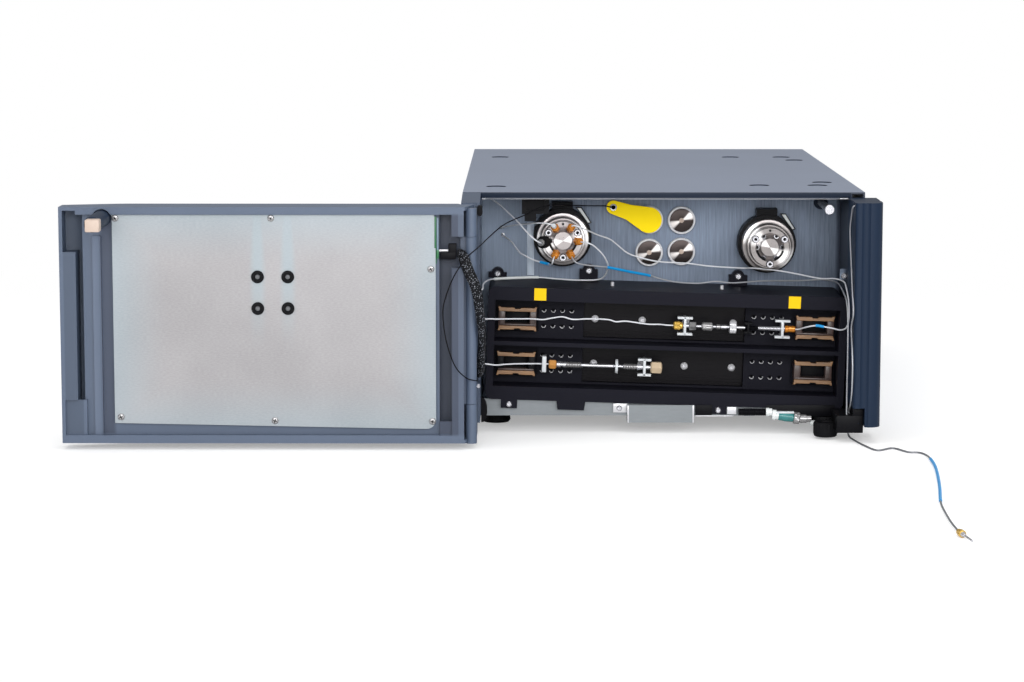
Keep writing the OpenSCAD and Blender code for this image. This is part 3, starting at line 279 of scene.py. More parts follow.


# painted shade and light on the door's inner face: the moulded channel beside the panel, the free
# side, the recess beside the hinge and the strip beside it are painted darker, as the shade they
# lie in; the ridge beside the channel gets a painted highlight
inner = band(door_tree, door_axes.outputs[2], 0.0125, 0.196, 0.0015)
for low, high, soft, share, shade in (
        (-0.3085, -0.2985, 0.002, 0.75, tone(48, 56, 76)),       # channel
        (-0.3172, -0.3112, 0.003, 0.12, tone(132, 142, 162)),    # ridge
        (-0.3385, -0.324, 0.0006, 0.6, tone(58, 70, 88)),        # free side
        (-0.0285, -0.0125, 0.0004, 0.8, tone(34, 42, 62)),       # hinge side
        (-0.0175, -0.0065, 0.0004, 0.45, tone(58, 68, 88))):     # strip beside the hinge
    stripe = calc(door_tree, "MULTIPLY", band(door_tree, door_axes.outputs[0], low, high, soft),
                  inner)
    over(door_paint, calc(door_tree, "MULTIPLY", stripe, share), shade)
cheek_paint = finish("cheek_plastic", tone(60, 73, 94), 0.46, 0.0, (1300, 1300, 1300), 0.05, 0.05)
navy = finish("navy_plastic", tone(26, 40, 60), 0.45, 0.0, (1300, 1300, 1300), 0.05, 0.06,
              spec=0.15)
dark_navy = finish("dark_navy_plastic", tone(28, 37, 52), 0.45, 0.0, (1300, 1300, 1300), 0.04, 0.08,
                   spec=0.12)
oven_black = finish("oven_black", tone(20, 20, 30), 0.5, 0.0, (1500, 1500, 1500), 0.04, 0.12,
                    spec=0.1)
heater_black = finish("heater_black", tone(18, 16, 20), 0.3, 0.0, (30, 600, 900), 0.02, 0.14,
                      spec=0.12)
black = finish("black_plastic", tone(13, 13, 17), 0.42, 0.0, (1200, 1200, 1200), 0.05, 0.1,
               spec=0.1)
rubber = finish("rubber_black", tone(15, 15, 18), 0.6, 0.0, (900, 900, 900), 0.06, 0.1, spec=0.12)
foam = finish("foam", tone(190, 188, 176), 0.9, 0.0, (700, 700, 700), 0.3, 0.1)
brown = finish("clip_brown", tone(112, 80, 54), 0.24, 0.0, (90, 90, 900), 0.03, 0.25,
               second=tone(158, 120, 84), spec=0.6)
dark_brown = finish("clip_shadow_brown", tone(52, 40, 38), 0.3, 0.0, (300, 90, 300), 0.03, 0.3,
                    second=tone(84, 68, 64))
# the tag yellow is given a faint glow of its own colour: painted light
yellow = finish("yellow", tone(255, 222, 8), 0.5, 0.0, (600, 600, 600), 0.02, 0.02, spec=0.1,
                glow=0.16)
bright = finish("screw_steel", tone(206, 206, 212), 0.24, 0.8, (900, 900, 900), 0.01, 0.05)
steel = finish("steel", tone(168, 167, 168), 0.28, 0.7, (90, 700, 700), 0.015, 0.1)
line_steel = finish("line_steel", tone(226, 228, 234), 0.34, 0.1, (900, 900, 900), 0.01, 0.06)
gold = finish("nut_gold", tone(206, 128, 46), 0.24, 0.35, (900, 200, 900), 0.015, 0.12)
brass = finish("brass", tone(232, 190, 92), 0.24, 0.7, (900, 200, 900), 0.015, 0.1)
amber = finish("amber_plastic", tone(206, 130, 42), 0.2, 0.35, (900, 900, 900), 0.02, 0.1)
orange = finish("orange_plastic", tone(206, 144, 74), 0.34, 0.0, (900, 900, 900), 0.02, 0.06)
beige = finish("beige_polymer", tone(206, 184, 154), 0.42, 0.0, (900, 900, 900), 0.02, 0.05)
clear = finish("clear_plastic", tone(226, 230, 234), 0.24, 0.0, (500, 500, 500), 0.02, 0.05,
               transmission=0.15)
grey_line = finish("dull_line_steel", tone(168, 170, 176), 0.34, 0.3, (900, 900, 900), 0.01, 0.08)
outer_line = finish("outer_line_steel", tone(132, 134, 140), 0.3, 0.6, (900, 900, 900), 0.01, 0.08)
square_yellow = finish("square_yellow", tone(246, 200, 20), 0.5, 0.0, (600, 600, 600), 0.02, 0.03,
                       spec=0.1)
teal = finish("teal_liquid", tone(60, 128, 128), 0.15, 0.0, (300, 300, 300), 0.01, 0.2)
blue = finish("blue_sleeve", tone(10, 150, 220), 0.32, 0.0, (900, 900, 900), 0.02, 0.06)
pale = finish("pale_metal", tone(214, 214, 218), 0.3, 0.3, (500, 500, 500), 0.02, 0.05)
white = finish("white_plastic", tone(228, 232, 232), 0.35, 0.0, (500, 500, 500), 0.02, 0.04)
green = finish("board_green", tone(38, 112, 66), 0.4, 0.0, (300, 300, 300), 0.02, 0.15)
tan = finish("tan_plastic", tone(200, 180, 166), 0.5, 0.0, (800, 800, 800), 0.03, 0.05)
drive = finish("drive_grey", tone(92, 94, 98), 0.5, 0.0, (800, 800, 800), 0.04, 0.08)
polymer = finish("rotor_polymer", tone(190, 184, 164), 0.5, 0.0, (600, 600, 600), 0.02, 0.06)
braid = finish("braid", tone(14, 15, 19), 0.55, 0.0, (1700, 1700, 1700), 0.3, 0.3, spec=0.15)
braid_tree = braid.node_tree
flecks = finish_node(braid_tree, "ShaderNodeTexVoronoi", Scale=760.0)
spot = braid_tree.nodes.new("ShaderNodeTexCoord")
braid_tree.links.new(spot.outputs["Object"], flecks.inputs["Vector"])
over(braid, ease(braid_tree, calc(braid_tree, "SUBTRACT", 0.3, flecks.outputs["Distance"]),
                 0.0, 0.08), tone(150, 154, 164))
# the pale tones below are the painted sheen across each valve face
valve_left = turned_face("left_valve_steel", *VALVES[-1], tone(166, 160, 160),
                         tone(252, 250, 250), 12)
valve_right = turned_face("right_valve_steel", *VALVES[1], tone(140, 135, 134),
                          tone(248, 246, 246), 146)

WEARS = (
    (paint, "top_cover"),
    (pan_zinc, "base_pan drip_bracket power_supply"),
    (zinc, "front_bulkhead rear_panel"),
    (cheek_paint, "left_cheek"),
    (navy, "right_trim"),
    (rubber, "feet door_bumper door_grommets"),
    (door_paint, "hinge_brackets door_shell"),
    (bright, "hinge_pins catch_pin case_screws door_screws"),
    (black, "guide_bracket valve_collars blank_nut drain_cup outlet_clip fan_frame "
            "mains_inlet fan_rotor power_rocker tag_cord"),
    (oven_black, "oven_housing"),
    (foam, "oven_insulation"),
    (heater_black, "heater_plates"),
    (brown, "column_clips"),
    (square_yellow, "oven_squares"),
    (valve_left, "left_stator"),
    (valve_right, "right_stator"),
    (drive, "valve_drives rear_sockets"),
    (gold, "port_nuts guard_fittings"),
    (steel, "tag_readers upper_column guard_column"),
    (yellow, "column_tag"),
    (brass, "upper_fittings outlet_fitting"),
    (clear, "column_clamps"),
    (line_steel, "valve_lines inlet_lines right_lines outlet_capillary"),
    (blue, "line_sleeves outlet_sleeve"),
    (white, "drain_tube drain_fitting"),
    (green, "main_board door_board"),
    (polymer, "left_rotor right_rotor"),
    (panel_zinc, "door_panel"),
    (tan, "latch_block"),
    (braid, "door_harness"),
)
for material, names in WEARS:
    for name in names.split():
        mesh = nodes[name].data
        mesh.materials.clear()
        mesh.materials.append(material)


# ---------------------------------------------------------------- lines and cords
def spline(points, steps=8):
    """Smooth points through the control points, as the sweeps of the solids run."""
    path = []
    last = len(points) - 1
    for i in range(last):
        a, b, c, d = (Vector(points[j]) for j in (max(i - 1, 0), i, i + 1, min(i + 2, last)))
        for k in range(steps):
            t = k / steps
            path.append(0.5 * (2 * b + (c - a) * t + (2 * a - 5 * b + 4 * c - d) * t * t
                               + (3 * b - a - 3 * c + d) * t * t * t))
    path.append(Vector(points[last]))
    return path


def lead(name, points, radius, material, first=0, last=None, steps=8):
    """A round line along the stretch between two of its control points, points in case mm."""
    path = spline(points, steps)
    end = len(points) - 1 if last is None else last
    path = path[first * steps:end * steps + 1]
    curve = bpy.data.curves.new(name, "CURVE")
    curve.dimensions = "3D"
    curve.bevel_depth = radius / 1000
    curve.bevel_resolution = 3
    curve.use_fill_caps = True
    run = curve.splines.new("POLY")
    run.points.add(len(path) - 1)
    for point, p in zip(run.points, path):
        point.co = (*at(*p), 1)
    run.use_smooth = True
    curve.materials.append(material)
    piece = bpy.data.objects.new(name, curve)
    scene.collection.objects.link(piece)
    return piece


def port(angle, s, lean=25, depth=33, circle=10.2):
    """Point on the axis of a port of the left valve, s mm out from its seat."""
    tilt, turn = math.radians(lean), math.radians(angle)
    x, z = 4 - 89.5 * math.cos(math.radians(1.8)), 160.3 + 89.5 * math.sin(math.radians(1.8))
    q = circle + s * math.sin(tilt)
    return (x + q * math.sin(turn), depth - s * math.cos(tilt), z + q * math.cos(turn))


CAP, INNER, SLEEVE = 0.8, 0.65, 1.25
outlet_pts = [(156.3, -33, 13), (156.3, -33, 6.5), (157.2, -35, 2.6), (160.5, -44, 1),
              (166, -71, 0.9), (174, -95, 0.9), (188, -84, 0.9), (198, -103, 0.9),
              (207, -106, 0.9), (211.3, -118, 0.9), (212, -139, 1.35), (211, -172, 1.35),
              (208, -208, 1.35), (201.5, -268, 1.35), (194, -327, 1.35), (191.8, -357, 1.1),
              (189.8, -405, 1.6), (189, -435, 2.6), (189.2, -453.7, 2.85)]
outlet = lead("outlet_line", outlet_pts, CAP, outer_line)
outlet_cover = lead("outlet_line_sleeve", outlet_pts, SLEEVE, blue, 10, 14)
for piece in (outlet, outlet_cover):
    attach(piece, "case")
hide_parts("outlet_capillary")
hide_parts("outlet_sleeve")

inlet_pts = [(-161, 60, 196.4), (-155, 60, 196.6), (-149, 54, 198), (-141, 48, 193.5),
             (-133, 40, 187), (-124.5, 26, 180), (-117, 15, 172.5), (-110, 9.5, 166.3),
             port(-90, 22), port(-90, 18)]
wash_pts = [(-139.5, 86, 170.4), (-139.5, 77, 170.4), (-131, 62, 173.3), (-120, 44, 176.3),
            (-110, 28, 178.6), (-101, 18.5, 179.5), port(-30, 15), port(-30, 12)]
feed_pts = [(-138, 86, 163.9), (-138, 77, 163.9), (-130, 60, 159.4), (-123, 48, 151.5),
            (-118.5, 44, 149), (-111.5, 40, 145.8), (-105, 36, 144.2), (-98, 32, 142.8),
            (-95.4, 21, 143.6), (-94.3, 16.6, 147), port(-150, 15), port(-150, 12)]
loop_pts = [port(90, 12), port(90, 15), (-64, 17, 162.5), (-58, 20, 159), (-50, 28, 150),
            (-46.3, 38, 140), (-49.2, 48, 130.5), (-56, 53, 126.8), (-74.4, 55, 126.4),
            (-92.8, 59, 127.2), (-106.5, 60, 128.2), (-126, 52, 128.6), (-145, 39, 129),
            (-151.5, 24, 128.8), (-154.3, 9, 127.2), (-154.8, -2, 124.6), (-161, -6, 123)]
column_pts = [port(30, 12), port(30, 15), (-72, 18.5, 176.5), (-66, 24, 173.5),
              (-54.6, 42, 167), (-45, 50, 163), (-39, 55, 158.4), (-30, 60, 150.5),
              (-21, 62, 146.5), (-2, 62, 142), (24, 62, 140.3), (44, 58, 138.3),
              (71, 53, 137.2), (80, 45, 138), (99, 41, 136.6), (117, 43, 133.4),
              (137.5, 36, 130), (149.5, 24, 131), (155.4, 8, 130), (155.7, -10, 126),
              (155.7, -26, 119), (155.7, -33, 111), (155.6, -32, 102), (154.5, -24, 94.5),
              (151, -12, 91), (145, -5, 91.5), (138, -1, 92.4), (131.3, 2, 93),
              (123.4, 7, 91), (118, 14.6, 88.3), (114.8, 15, 88.2)]
waste_pts = [port(150, 12), port(150, 15), (-74, 17.5, 145.5), (-66.5, 21, 143.2),
             (-52, 28, 141), (-47, 31, 140.2), (-28, 42, 135.3), (-9, 52, 130.6),
             (-2.6, 54, 128.4), (12, 50, 125.4), (32, 47, 124.4), (48, 48, 126),
             (63.5, 50, 124.5), (88, 56, 125.5), (121, 64, 125), (140, 63, 126),
             (149, 52, 126.3), (153, 36, 126), (153.4, 10, 124.5), (153.4, -14, 122),
             (153.4, -32, 118.5), (153.4, -42, 111), (153.6, -45, 98), (153.6, -46, 72),
             (153.5, -45, 46), (153.5, -45, 30), (153.5, -45, 22), (153.5, -45, 15)]
side_pts = [(162, -46, 200), (158.3, -46, 200), (156.3, -44.5, 198.4), (156.3, -36, 191),
            (156.3, -26, 179), (156.3, -31, 165), (156.3, -38, 152), (156.3, -50, 129),
            (156.3, -60, 111.5), (156.3, -47, 97), (156.3, -55, 80), (156.3, -59.5, 64),
            (156.3, -57, 46), (156.3, -50, 34), (156.3, -38, 26), (156.3, -36, 21.5),
            (156.3, -36, 15)]
upper_pts = [(-161, -7, 99), (-155, -5.5, 99.2), (-148, -2.5, 99.2), (-143, -1, 98.8),
             (-136, 5, 98.2), (-127, 9, 97.8), (-112, 9, 97.8), (-103, 9, 97.2),
             (-94.5, 9, 98.6), (-86, 9, 99.6), (-77, 9, 97.4), (-64, 9, 97.8),
             (-47.5, 9, 97.3), (-40, 9, 95.4), (-31, 9, 95.8), (-13, 10, 93.2),
             (-2, 13, 92.6), (4, 14.7, 91.7), (9.4, 15, 91.5)]
lower_pts = [(-161, -7, 61.5), (-155, -5.5, 61), (-148, -2.5, 59.8), (-143, -1, 59),
             (-136, 5, 58.8), (-126, 10, 58.6), (-111, 14.2, 58.2), (-104, 15, 58),
             (-97.8, 15, 57.8)]
LINES = [
    ("valve_lines", "steel", [
        ("wash_line", wash_pts, INNER, line_steel),
        ("feed_line", feed_pts, INNER, line_steel),
        ("loop_line", loop_pts, INNER, line_steel)]),
    ("inlet_lines", "steel", [
        ("inlet_line", inlet_pts, INNER, line_steel),
        ("upper_trough_line", upper_pts, INNER, line_steel),
        ("lower_trough_line", lower_pts, INNER, line_steel)]),
    ("right_lines", "steel", [
        ("column_line", column_pts, INNER, line_steel),
        ("waste_line", waste_pts, INNER, grey_line),
        ("side_line", side_pts, INNER, grey_line)]),
    ("line_sleeves", "blue_sleeve", [
        ("feed_sleeve", feed_pts, SLEEVE, blue, 6, 7),
        ("loop_sleeve", loop_pts, SLEEVE, white, 10, 12),
        ("column_sleeve", column_pts, SLEEVE, blue, 26, 27),
        ("waste_sleeve", waste_pts, SLEEVE, blue, 5, 7)]),
]
for node, slot, leads in LINES:
    for facts in leads:
        piece = lead(*facts)
        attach(piece, "case")
        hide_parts(node)

harness_pts = [(-174, -84, 163.8), (-172.6, -84.2, 163.7), (-171.3, -84.7, 163.3),
               (-170.3, -85.4, 162.6), (-169.6, -86.4, 161.8), (-168.9, -88, 160.5),
               (-167.5, -91.5, 157.5), (-165.6, -95, 152.6), (-163.2, -97, 147), (-160, -97, 140),
               (-157.3, -95, 130), (-155.9, -92, 119), (-154.6, -88, 108), (-153.9, -83, 98),
               (-153.9, -77, 88), (-154.4, -71, 80), (-154.9, -66, 72), (-155, -62.8, 66.5),
               (-155.7, -58, 61.5), (-158, -53, 58.5), (-162, -49.5, 57.5)]
tag_pts = [(-42.3, 77.5, 188.7), (-42.35, 71, 188.75), (-44.5, 67, 189.6), (-50, 63.5, 190.8),
           (-61, 58, 191.2), (-80, 42, 193), (-95, 18, 195.2), (-108, 13, 192.3),
           (-119, 8, 187.2), (-131, -8, 183.4), (-139.5, -22, 179.4), (-148, -60, 175),
           (-156, -93, 170), (-166, -105, 162), (-176, -106, 147.5), (-183, -99, 130),
           (-185.8, -97, 116), (-183.3, -97, 93), (-176, -97, 71.6), (-167, -96, 61.6),
           (-160.5, -90.5, 58.6), (-157.9, -86.5, 57.8)]
harness = lead("braided_harness", harness_pts, 3.8, braid, steps=3)
tag_string = lead("tag_string", tag_pts, 0.5, black)
# the braid is fuller where the door swings and narrower where it turns into the cheek
fuller = (3.8, 3.9, 4.0, 4.2, 4.4, 4.6, 4.8, 4.8, 4.8, 4.6, 4.4, 4.1, 3.8, 3.5, 3.3, 3.3, 3.3, 3.3,
          3.3, 3.3, 3.3)
ring_points = harness.data.splines[0].points
for i, point in enumerate(ring_points):
    whole, part = divmod(i / 3, 1)
    a = fuller[int(whole)]
    b = fuller[min(int(whole) + 1, len(fuller) - 1)]
    point.radius = (a + (b - a) * part) / 3.8
for piece in (harness, tag_string):
    ops.object.select_all(action="DESELECT")
    piece.select_set(True)
    bpy.context.view_layer.objects.active = piece
    ops.object.convert(target="MESH")
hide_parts("door_harness")
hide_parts("tag_cord")
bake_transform(harness)
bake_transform(tag_string)


# ---------------------------------------------------------------- shaping
def settle(piece, place, dress, body, slot, *replaced, edge=32):
    """Lays a shaped piece at its place, dresses it and hides the solids it stands for."""
    if piece.mode == "EDIT":
        ops.mesh.select_all(action="SELECT")
        ops.mesh.remove_doubles(threshold=1e-6)
        ops.mesh.normals_make_consistent(inside=False)
        ops.object.mode_set(mode="OBJECT")
    bpy.context.view_layer.update()
    piece.matrix_world = place @ piece.matrix_world
    ops.object.select_all(action="DESELECT")
    piece.select_set(True)
    bpy.context.view_layer.objects.active = piece
    ops.object.transform_apply(location=True, rotation=True, scale=True)
    ops.object.shade_smooth_by_angle(angle=math.radians(edge))
    piece.data.materials.clear()
    piece.data.materials.append(dress)
    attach(piece, body)
    if replaced:
        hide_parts(*replaced)
    return piece


def shape(name):
    piece = bpy.context.object
    piece.name = name
    piece.data.name = name
    ops.object.mode_set(mode="EDIT")
    ops.mesh.select_all(action="SELECT")
    return piece


def turned(name, rings, place, dress, body, slot, *replaced, sides=32, ribs=None):
    """A round piece about its own axis, drawn out ring by ring from (height, radius) in mm.
    ribs is (from, to, share): between those heights every second edge is drawn in."""
    ops.object.select_all(action="DESELECT")
    z, r = rings[0]
    ops.mesh.primitive_circle_add(vertices=sides, radius=r / 1000, fill_type="NGON",
                                  location=(0, 0, z / 1000))
    piece = shape(name)
    for height, radius in rings[1:]:
        ops.mesh.extrude_region_move(
            TRANSFORM_OT_translate={"value": (0, 0, (height - z) / 1000)})
        if radius != r:
            k = radius / r
            ops.transform.resize(value=(k, k, 1), center_override=(0, 0, height / 1000))
        z, r = height, radius
    if ribs:
        low, high, share = ribs
        body_mesh = bmesh.from_edit_mesh(piece.data)
        lift = rings[0][0] / 1000
        for v in body_mesh.verts:
            step = round(math.atan2(v.co.y, v.co.x) / (2 * math.pi / sides)) % 2
            v.select_set(low - 0.01 <= (v.co.z + lift) * 1000 <= high + 0.01 and step == 1)
        body_mesh.select_flush_mode()
        bmesh.update_edit_mesh(piece.data)
        ops.transform.resize(value=(share, share, 1), center_override=(0, 0, 0))
    return settle(piece, place, dress, body, slot, *replaced)


def block(name, low, high, place, dress, body, slot, *replaced, edge=0.4):
    """A box between two corners in mm, with its edges rounded."""
    low, high = Vector(low), Vector(high)
    ops.object.select_all(action="DESELECT")
    ops.mesh.primitive_cube_add(size=0.001, location=(low + high) / 2000, scale=high - low)
    ops.object.transform_apply(location=False, rotation=False, scale=True)
    piece = shape(name)
    ops.mesh.bevel(offset=edge / 1000, segments=2, affect="EDGES")
    return settle(piece, place, dress, body, slot, *replaced)


def plate(name, outlines, y0, y1, place, dress, body, slot, *replaced, edge=0.15):
    """A flat plate standing from y0 to y1, cut to outlines of (x, z) in mm."""
    curve = bpy.data.curves.new(name, "CURVE")
    curve.dimensions = "2D"
    curve.fill_mode = "BOTH"
    for outline in outlines:
        run = curve.splines.new("POLY")
        run.points.add(len(outline) - 1)
        for point, (x, z) in zip(run.points, outline):
            point.co = (x / 1000, z / 1000, 0, 1)
        run.use_cyclic_u = True
    curve.extrude = (y1 - y0 - 2 * edge) / 2000
    curve.bevel_depth = edge / 1000
    curve.offset = -edge / 1000
    piece = bpy.data.objects.new(name, curve)
    scene.collection.objects.link(piece)
    ops.object.select_all(action="DESELECT")
    piece.select_set(True)
    bpy.context.view_layer.objects.active = piece
    ops.object.convert(target="MESH")
    piece = bpy.context.object
    piece.matrix_world = shift(0, (y0 + y1) / 2, 0) @ turn(90, "X")
    return settle(piece, place, dress, body, slot, *replaced)


def arc(x, z, r, start, stop, steps=12):
    return [(x + r * math.cos(math.radians(start + (stop - start) * i / steps)),
             z + r * math.sin(math.radians(start + (stop - start) * i / steps)))
            for i in range(steps + 1)]


# ---------------------------------------------------------------- valves
def valve_frame(side):
    x, z = VALVES[side]
    return CASE @ shift(x, 0, z)


def port_frame(side, angle):
    return valve_frame(side) @ turn(angle, "Y") @ shift(0, 33, 10.2) @ turn(65, "X")


for side, word, face in ((-1, "left", valve_left), (1, "right", valve_right)):
    frame_here = valve_frame(side)
    turned(f"{word}_face_ring", [(-62, 21.4), (-61.6, 22.8), (-49, 22.8), (-48.2, 22.2),
                                 (-48, 20.2),
                                 (-47.6, 19.4), (-38.8, 19.4), (-38, 18.8), (-38, 17.6),
                                 (-37.6, 17.2), (-30.6, 17.2), (-30, 16.6), (-30, 12.5),
                                 (-32.9, 10.3), (-30.4, 8.0), (-30, 7.6), (-29.9, 2.0),
                                 (-29.9, 0.2)],
           frame_here @ TO_FRONT, face, "case", "steel", f"{word}_stator", sides=72)
    for angle in (-150, -90, -30, 30, 90, 150):
        here = port_frame(side, angle)
        turned(f"{word}_port_rim_{angle % 360}", [(-0.6, 2.0), (1.8, 2.3), (2.2, 2.1), (2.2, 1.5),
                                                  (1.4, 1.4)], here, bright, "case", "steel",
               f"{word}_stator", sides=24)
        turned(f"{word}_port_{angle % 360}", [(1.3, 1.2), (1.7, 1.5), (1.7, 0.4)], here, black,
               "case", "steel", f"{word}_stator", sides=20)
    for i, angle in enumerate((-60, 60, 180)):
        here = frame_here @ turn(angle, "Y") @ shift(0, 30, 14.4) @ TO_FRONT
        turned(f"{word}_valve_screw_{i}", [(0, 2.4), (0.2, 3.0), (2.2, 3.0), (2.7, 2.6),
                                           (2.7, 1.6), (1.4, 1.5)],
               here, bright, "case", "screw_steel", sides=30)
        # a black ring under each screw head is painted shadow
        turned(f"{word}_screw_seat_{i}", [(-0.2, 3.2), (0.12, 3.3), (0.12, 3.0)], here, black,
               "case", "screw_steel", sides=30)
        turned(f"{word}_screw_socket_{i}", [(1.2, 1.2), (1.6, 1.45), (1.7, 0.4)], here, black,
               "case", "screw_steel", sides=6)
    turned(f"{word}_locating_hole", [(-0.4, 0.9), (0.1, 1.1), (0.1, 0.7)],
           frame_here @ shift(0, 30, 14.6) @ TO_FRONT, black, "case", "steel",
           f"{word}_stator", sides=20)
    # black arcs along the lower part of the seat groove: painted shade in the groove
    for i, (start, stop) in enumerate(((194, 250), (290, 346))):
        rim = [(x, 29.95, z) for x, z in arc(*VALVES[side], 11.6, start, stop, 10)]
        groove = lead(f"{word}_seat_groove_{i}", rim, 0.9, black, steps=2)
        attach(groove, "case")
    edge_line = [(11.6, 26.2), (16.6, 26.2), (25.6, 12.4), (22.4, 11.4)]
    inner = [(13, 25.4), (16.2, 25.4), (24.2, 12.9), (22.3, 12.5)]
    plate(f"{word}_strip_back", [edge_line], 67.4, 69, frame_here, black, "case", "black_plastic")
    plate(f"{word}_strip", [inner], 66.6, 67.3, frame_here, white, "case", "white_plastic")

for i, angle in enumerate((-150, -30, 30, 90, 150)):
    place = port_frame(-1, angle)
    turned(f"port_nut_{i}", [(3.4, 2.4), (3.7, 3.2), (4.1, 3.7), (9.4, 3.7), (9.9, 3.0)],
           place, amber, "case", "nut_gold", "port_nuts", sides=6)
    turned(f"port_neck_{i}", [(-6, 1.6), (-5, 1.9), (3.6, 1.9), (9.6, 2.7), (11.4, 2.7), (12, 2.1)],
           place, amber, "case", "nut_gold", "port_nuts", sides=24)
turned("wash_ferrule", [(11.9, 1.2), (12, 2.2), (15.6, 2.0), (16.4, 1.2)], port_frame(-1, -30),
       clear, "case", "clear_plastic", sides=24)
turned("blank_grip", [(-6, 1.6), (-5, 1.9), (6.6, 1.9), (7, 2.6), (11.6, 2.8), (11.6, 4.7),
                      (12.1, 5.3), (19, 5.3), (19.6, 4.7), (19.6, 3.1)],
       port_frame(-1, -90), rubber, "case", "black_plastic", "blank_nut", sides=40,
       ribs=(12.1, 19, 0.94))
turned("blank_ferrule", [(19.4, 2.6), (19.6, 3.0), (21.6, 3.0), (22.2, 2.6), (22.2, 1.3),
                         (21, 1.2)], port_frame(-1, -90), steel, "case", "black_plastic",
       "blank_nut", sides=28)

# ---------------------------------------------------------------- tag and its readers
for i, (x, z) in enumerate(((-9, 177.4), (19.3, 177), (-9, 148.6), (19.3, 149.4))):
    place = CASE @ shift(x, 80, z) @ TO_FRONT
    # the readers' dishes carry painted sheen wedges too
    dish = turned_face(f"reader_steel_{i}", x, z, tone(54, 47, 46), tone(224, 218, 216), 26,
                       sharp=(0.6, 1.0))
    turned(f"reader_rim_{i}", [(0, 12.2), (4.9, 12.2), (5.5, 11.7), (5.5, 10.9), (4.7, 10.5)],
           place, pale, "case", "steel", "tag_readers", sides=48)
    turned(f"reader_dish_{i}", [(4.2, 10.5), (4.9, 10.3), (5.1, 9.7), (5.0, 2.6)],
           place, dish, "case", "steel", "tag_readers", sides=48)
    turned(f"reader_button_{i}", [(4.8, 2.2), (5.5, 2.1), (5.8, 1.5)],
           place, tan, "case", "steel", "tag_readers", sides=24)
small, large = Vector((-40.8, 188.7)), Vector((-9.7, 177.5))
run_way = math.degrees(math.atan2(*(large - small).yx))
outline = (arc(*small, 6.0, run_way + 96, run_way + 264, 18)
           + [tuple(small.lerp(large, 0.42) + Vector((-0.34, -0.94)) * 6.3)]
           + arc(*large, 11.4, run_way - 112, run_way + 104, 28)
           + [tuple(small.lerp(large, 0.42) + Vector((0.34, 0.94)) * 7.3)])
plate("tag_leaf", [outline, arc(*small, 2.4, 0, 345, 23)], 71.6, 74.2, CASE, yellow, "case",
      "yellow", "column_tag", edge=0.5)
turned("tag_eyelet", [(-2.2, 2.3), (-2.2, 2.8), (0.3, 3.2), (0.6, 2.8), (0.5, 2.0), (-2.2, 1.9)],
       CASE @ shift(small.x, 71.6, small.y) @ TO_FRONT, steel, "case", "yellow",
       "column_tag", sides=28)

# ---------------------------------------------------------------- columns
UP = OVEN @ shift(0, 15, 18.3) @ ALONG_X
LOW = OVEN @ shift(0, 15, -18.8) @ ALONG_X


def thread(start, stop, r, depth, pitch):
    """Rings of a screw thread or a wound wire."""
    count = int((stop - start) / pitch)
    rings = [(start, r - depth)]
    for i in range(count):
        a = start + i * pitch
        rings += [(a + pitch * 0.25, r), (a + pitch * 0.6, r), (a + pitch * 0.95, r - depth)]
    return rings + [(stop, r - depth)]


def tube(start, stop, r):
    return [(start, r - 0.2), (start + 0.3, r), (stop - 0.3, r), (stop, r - 0.2)]


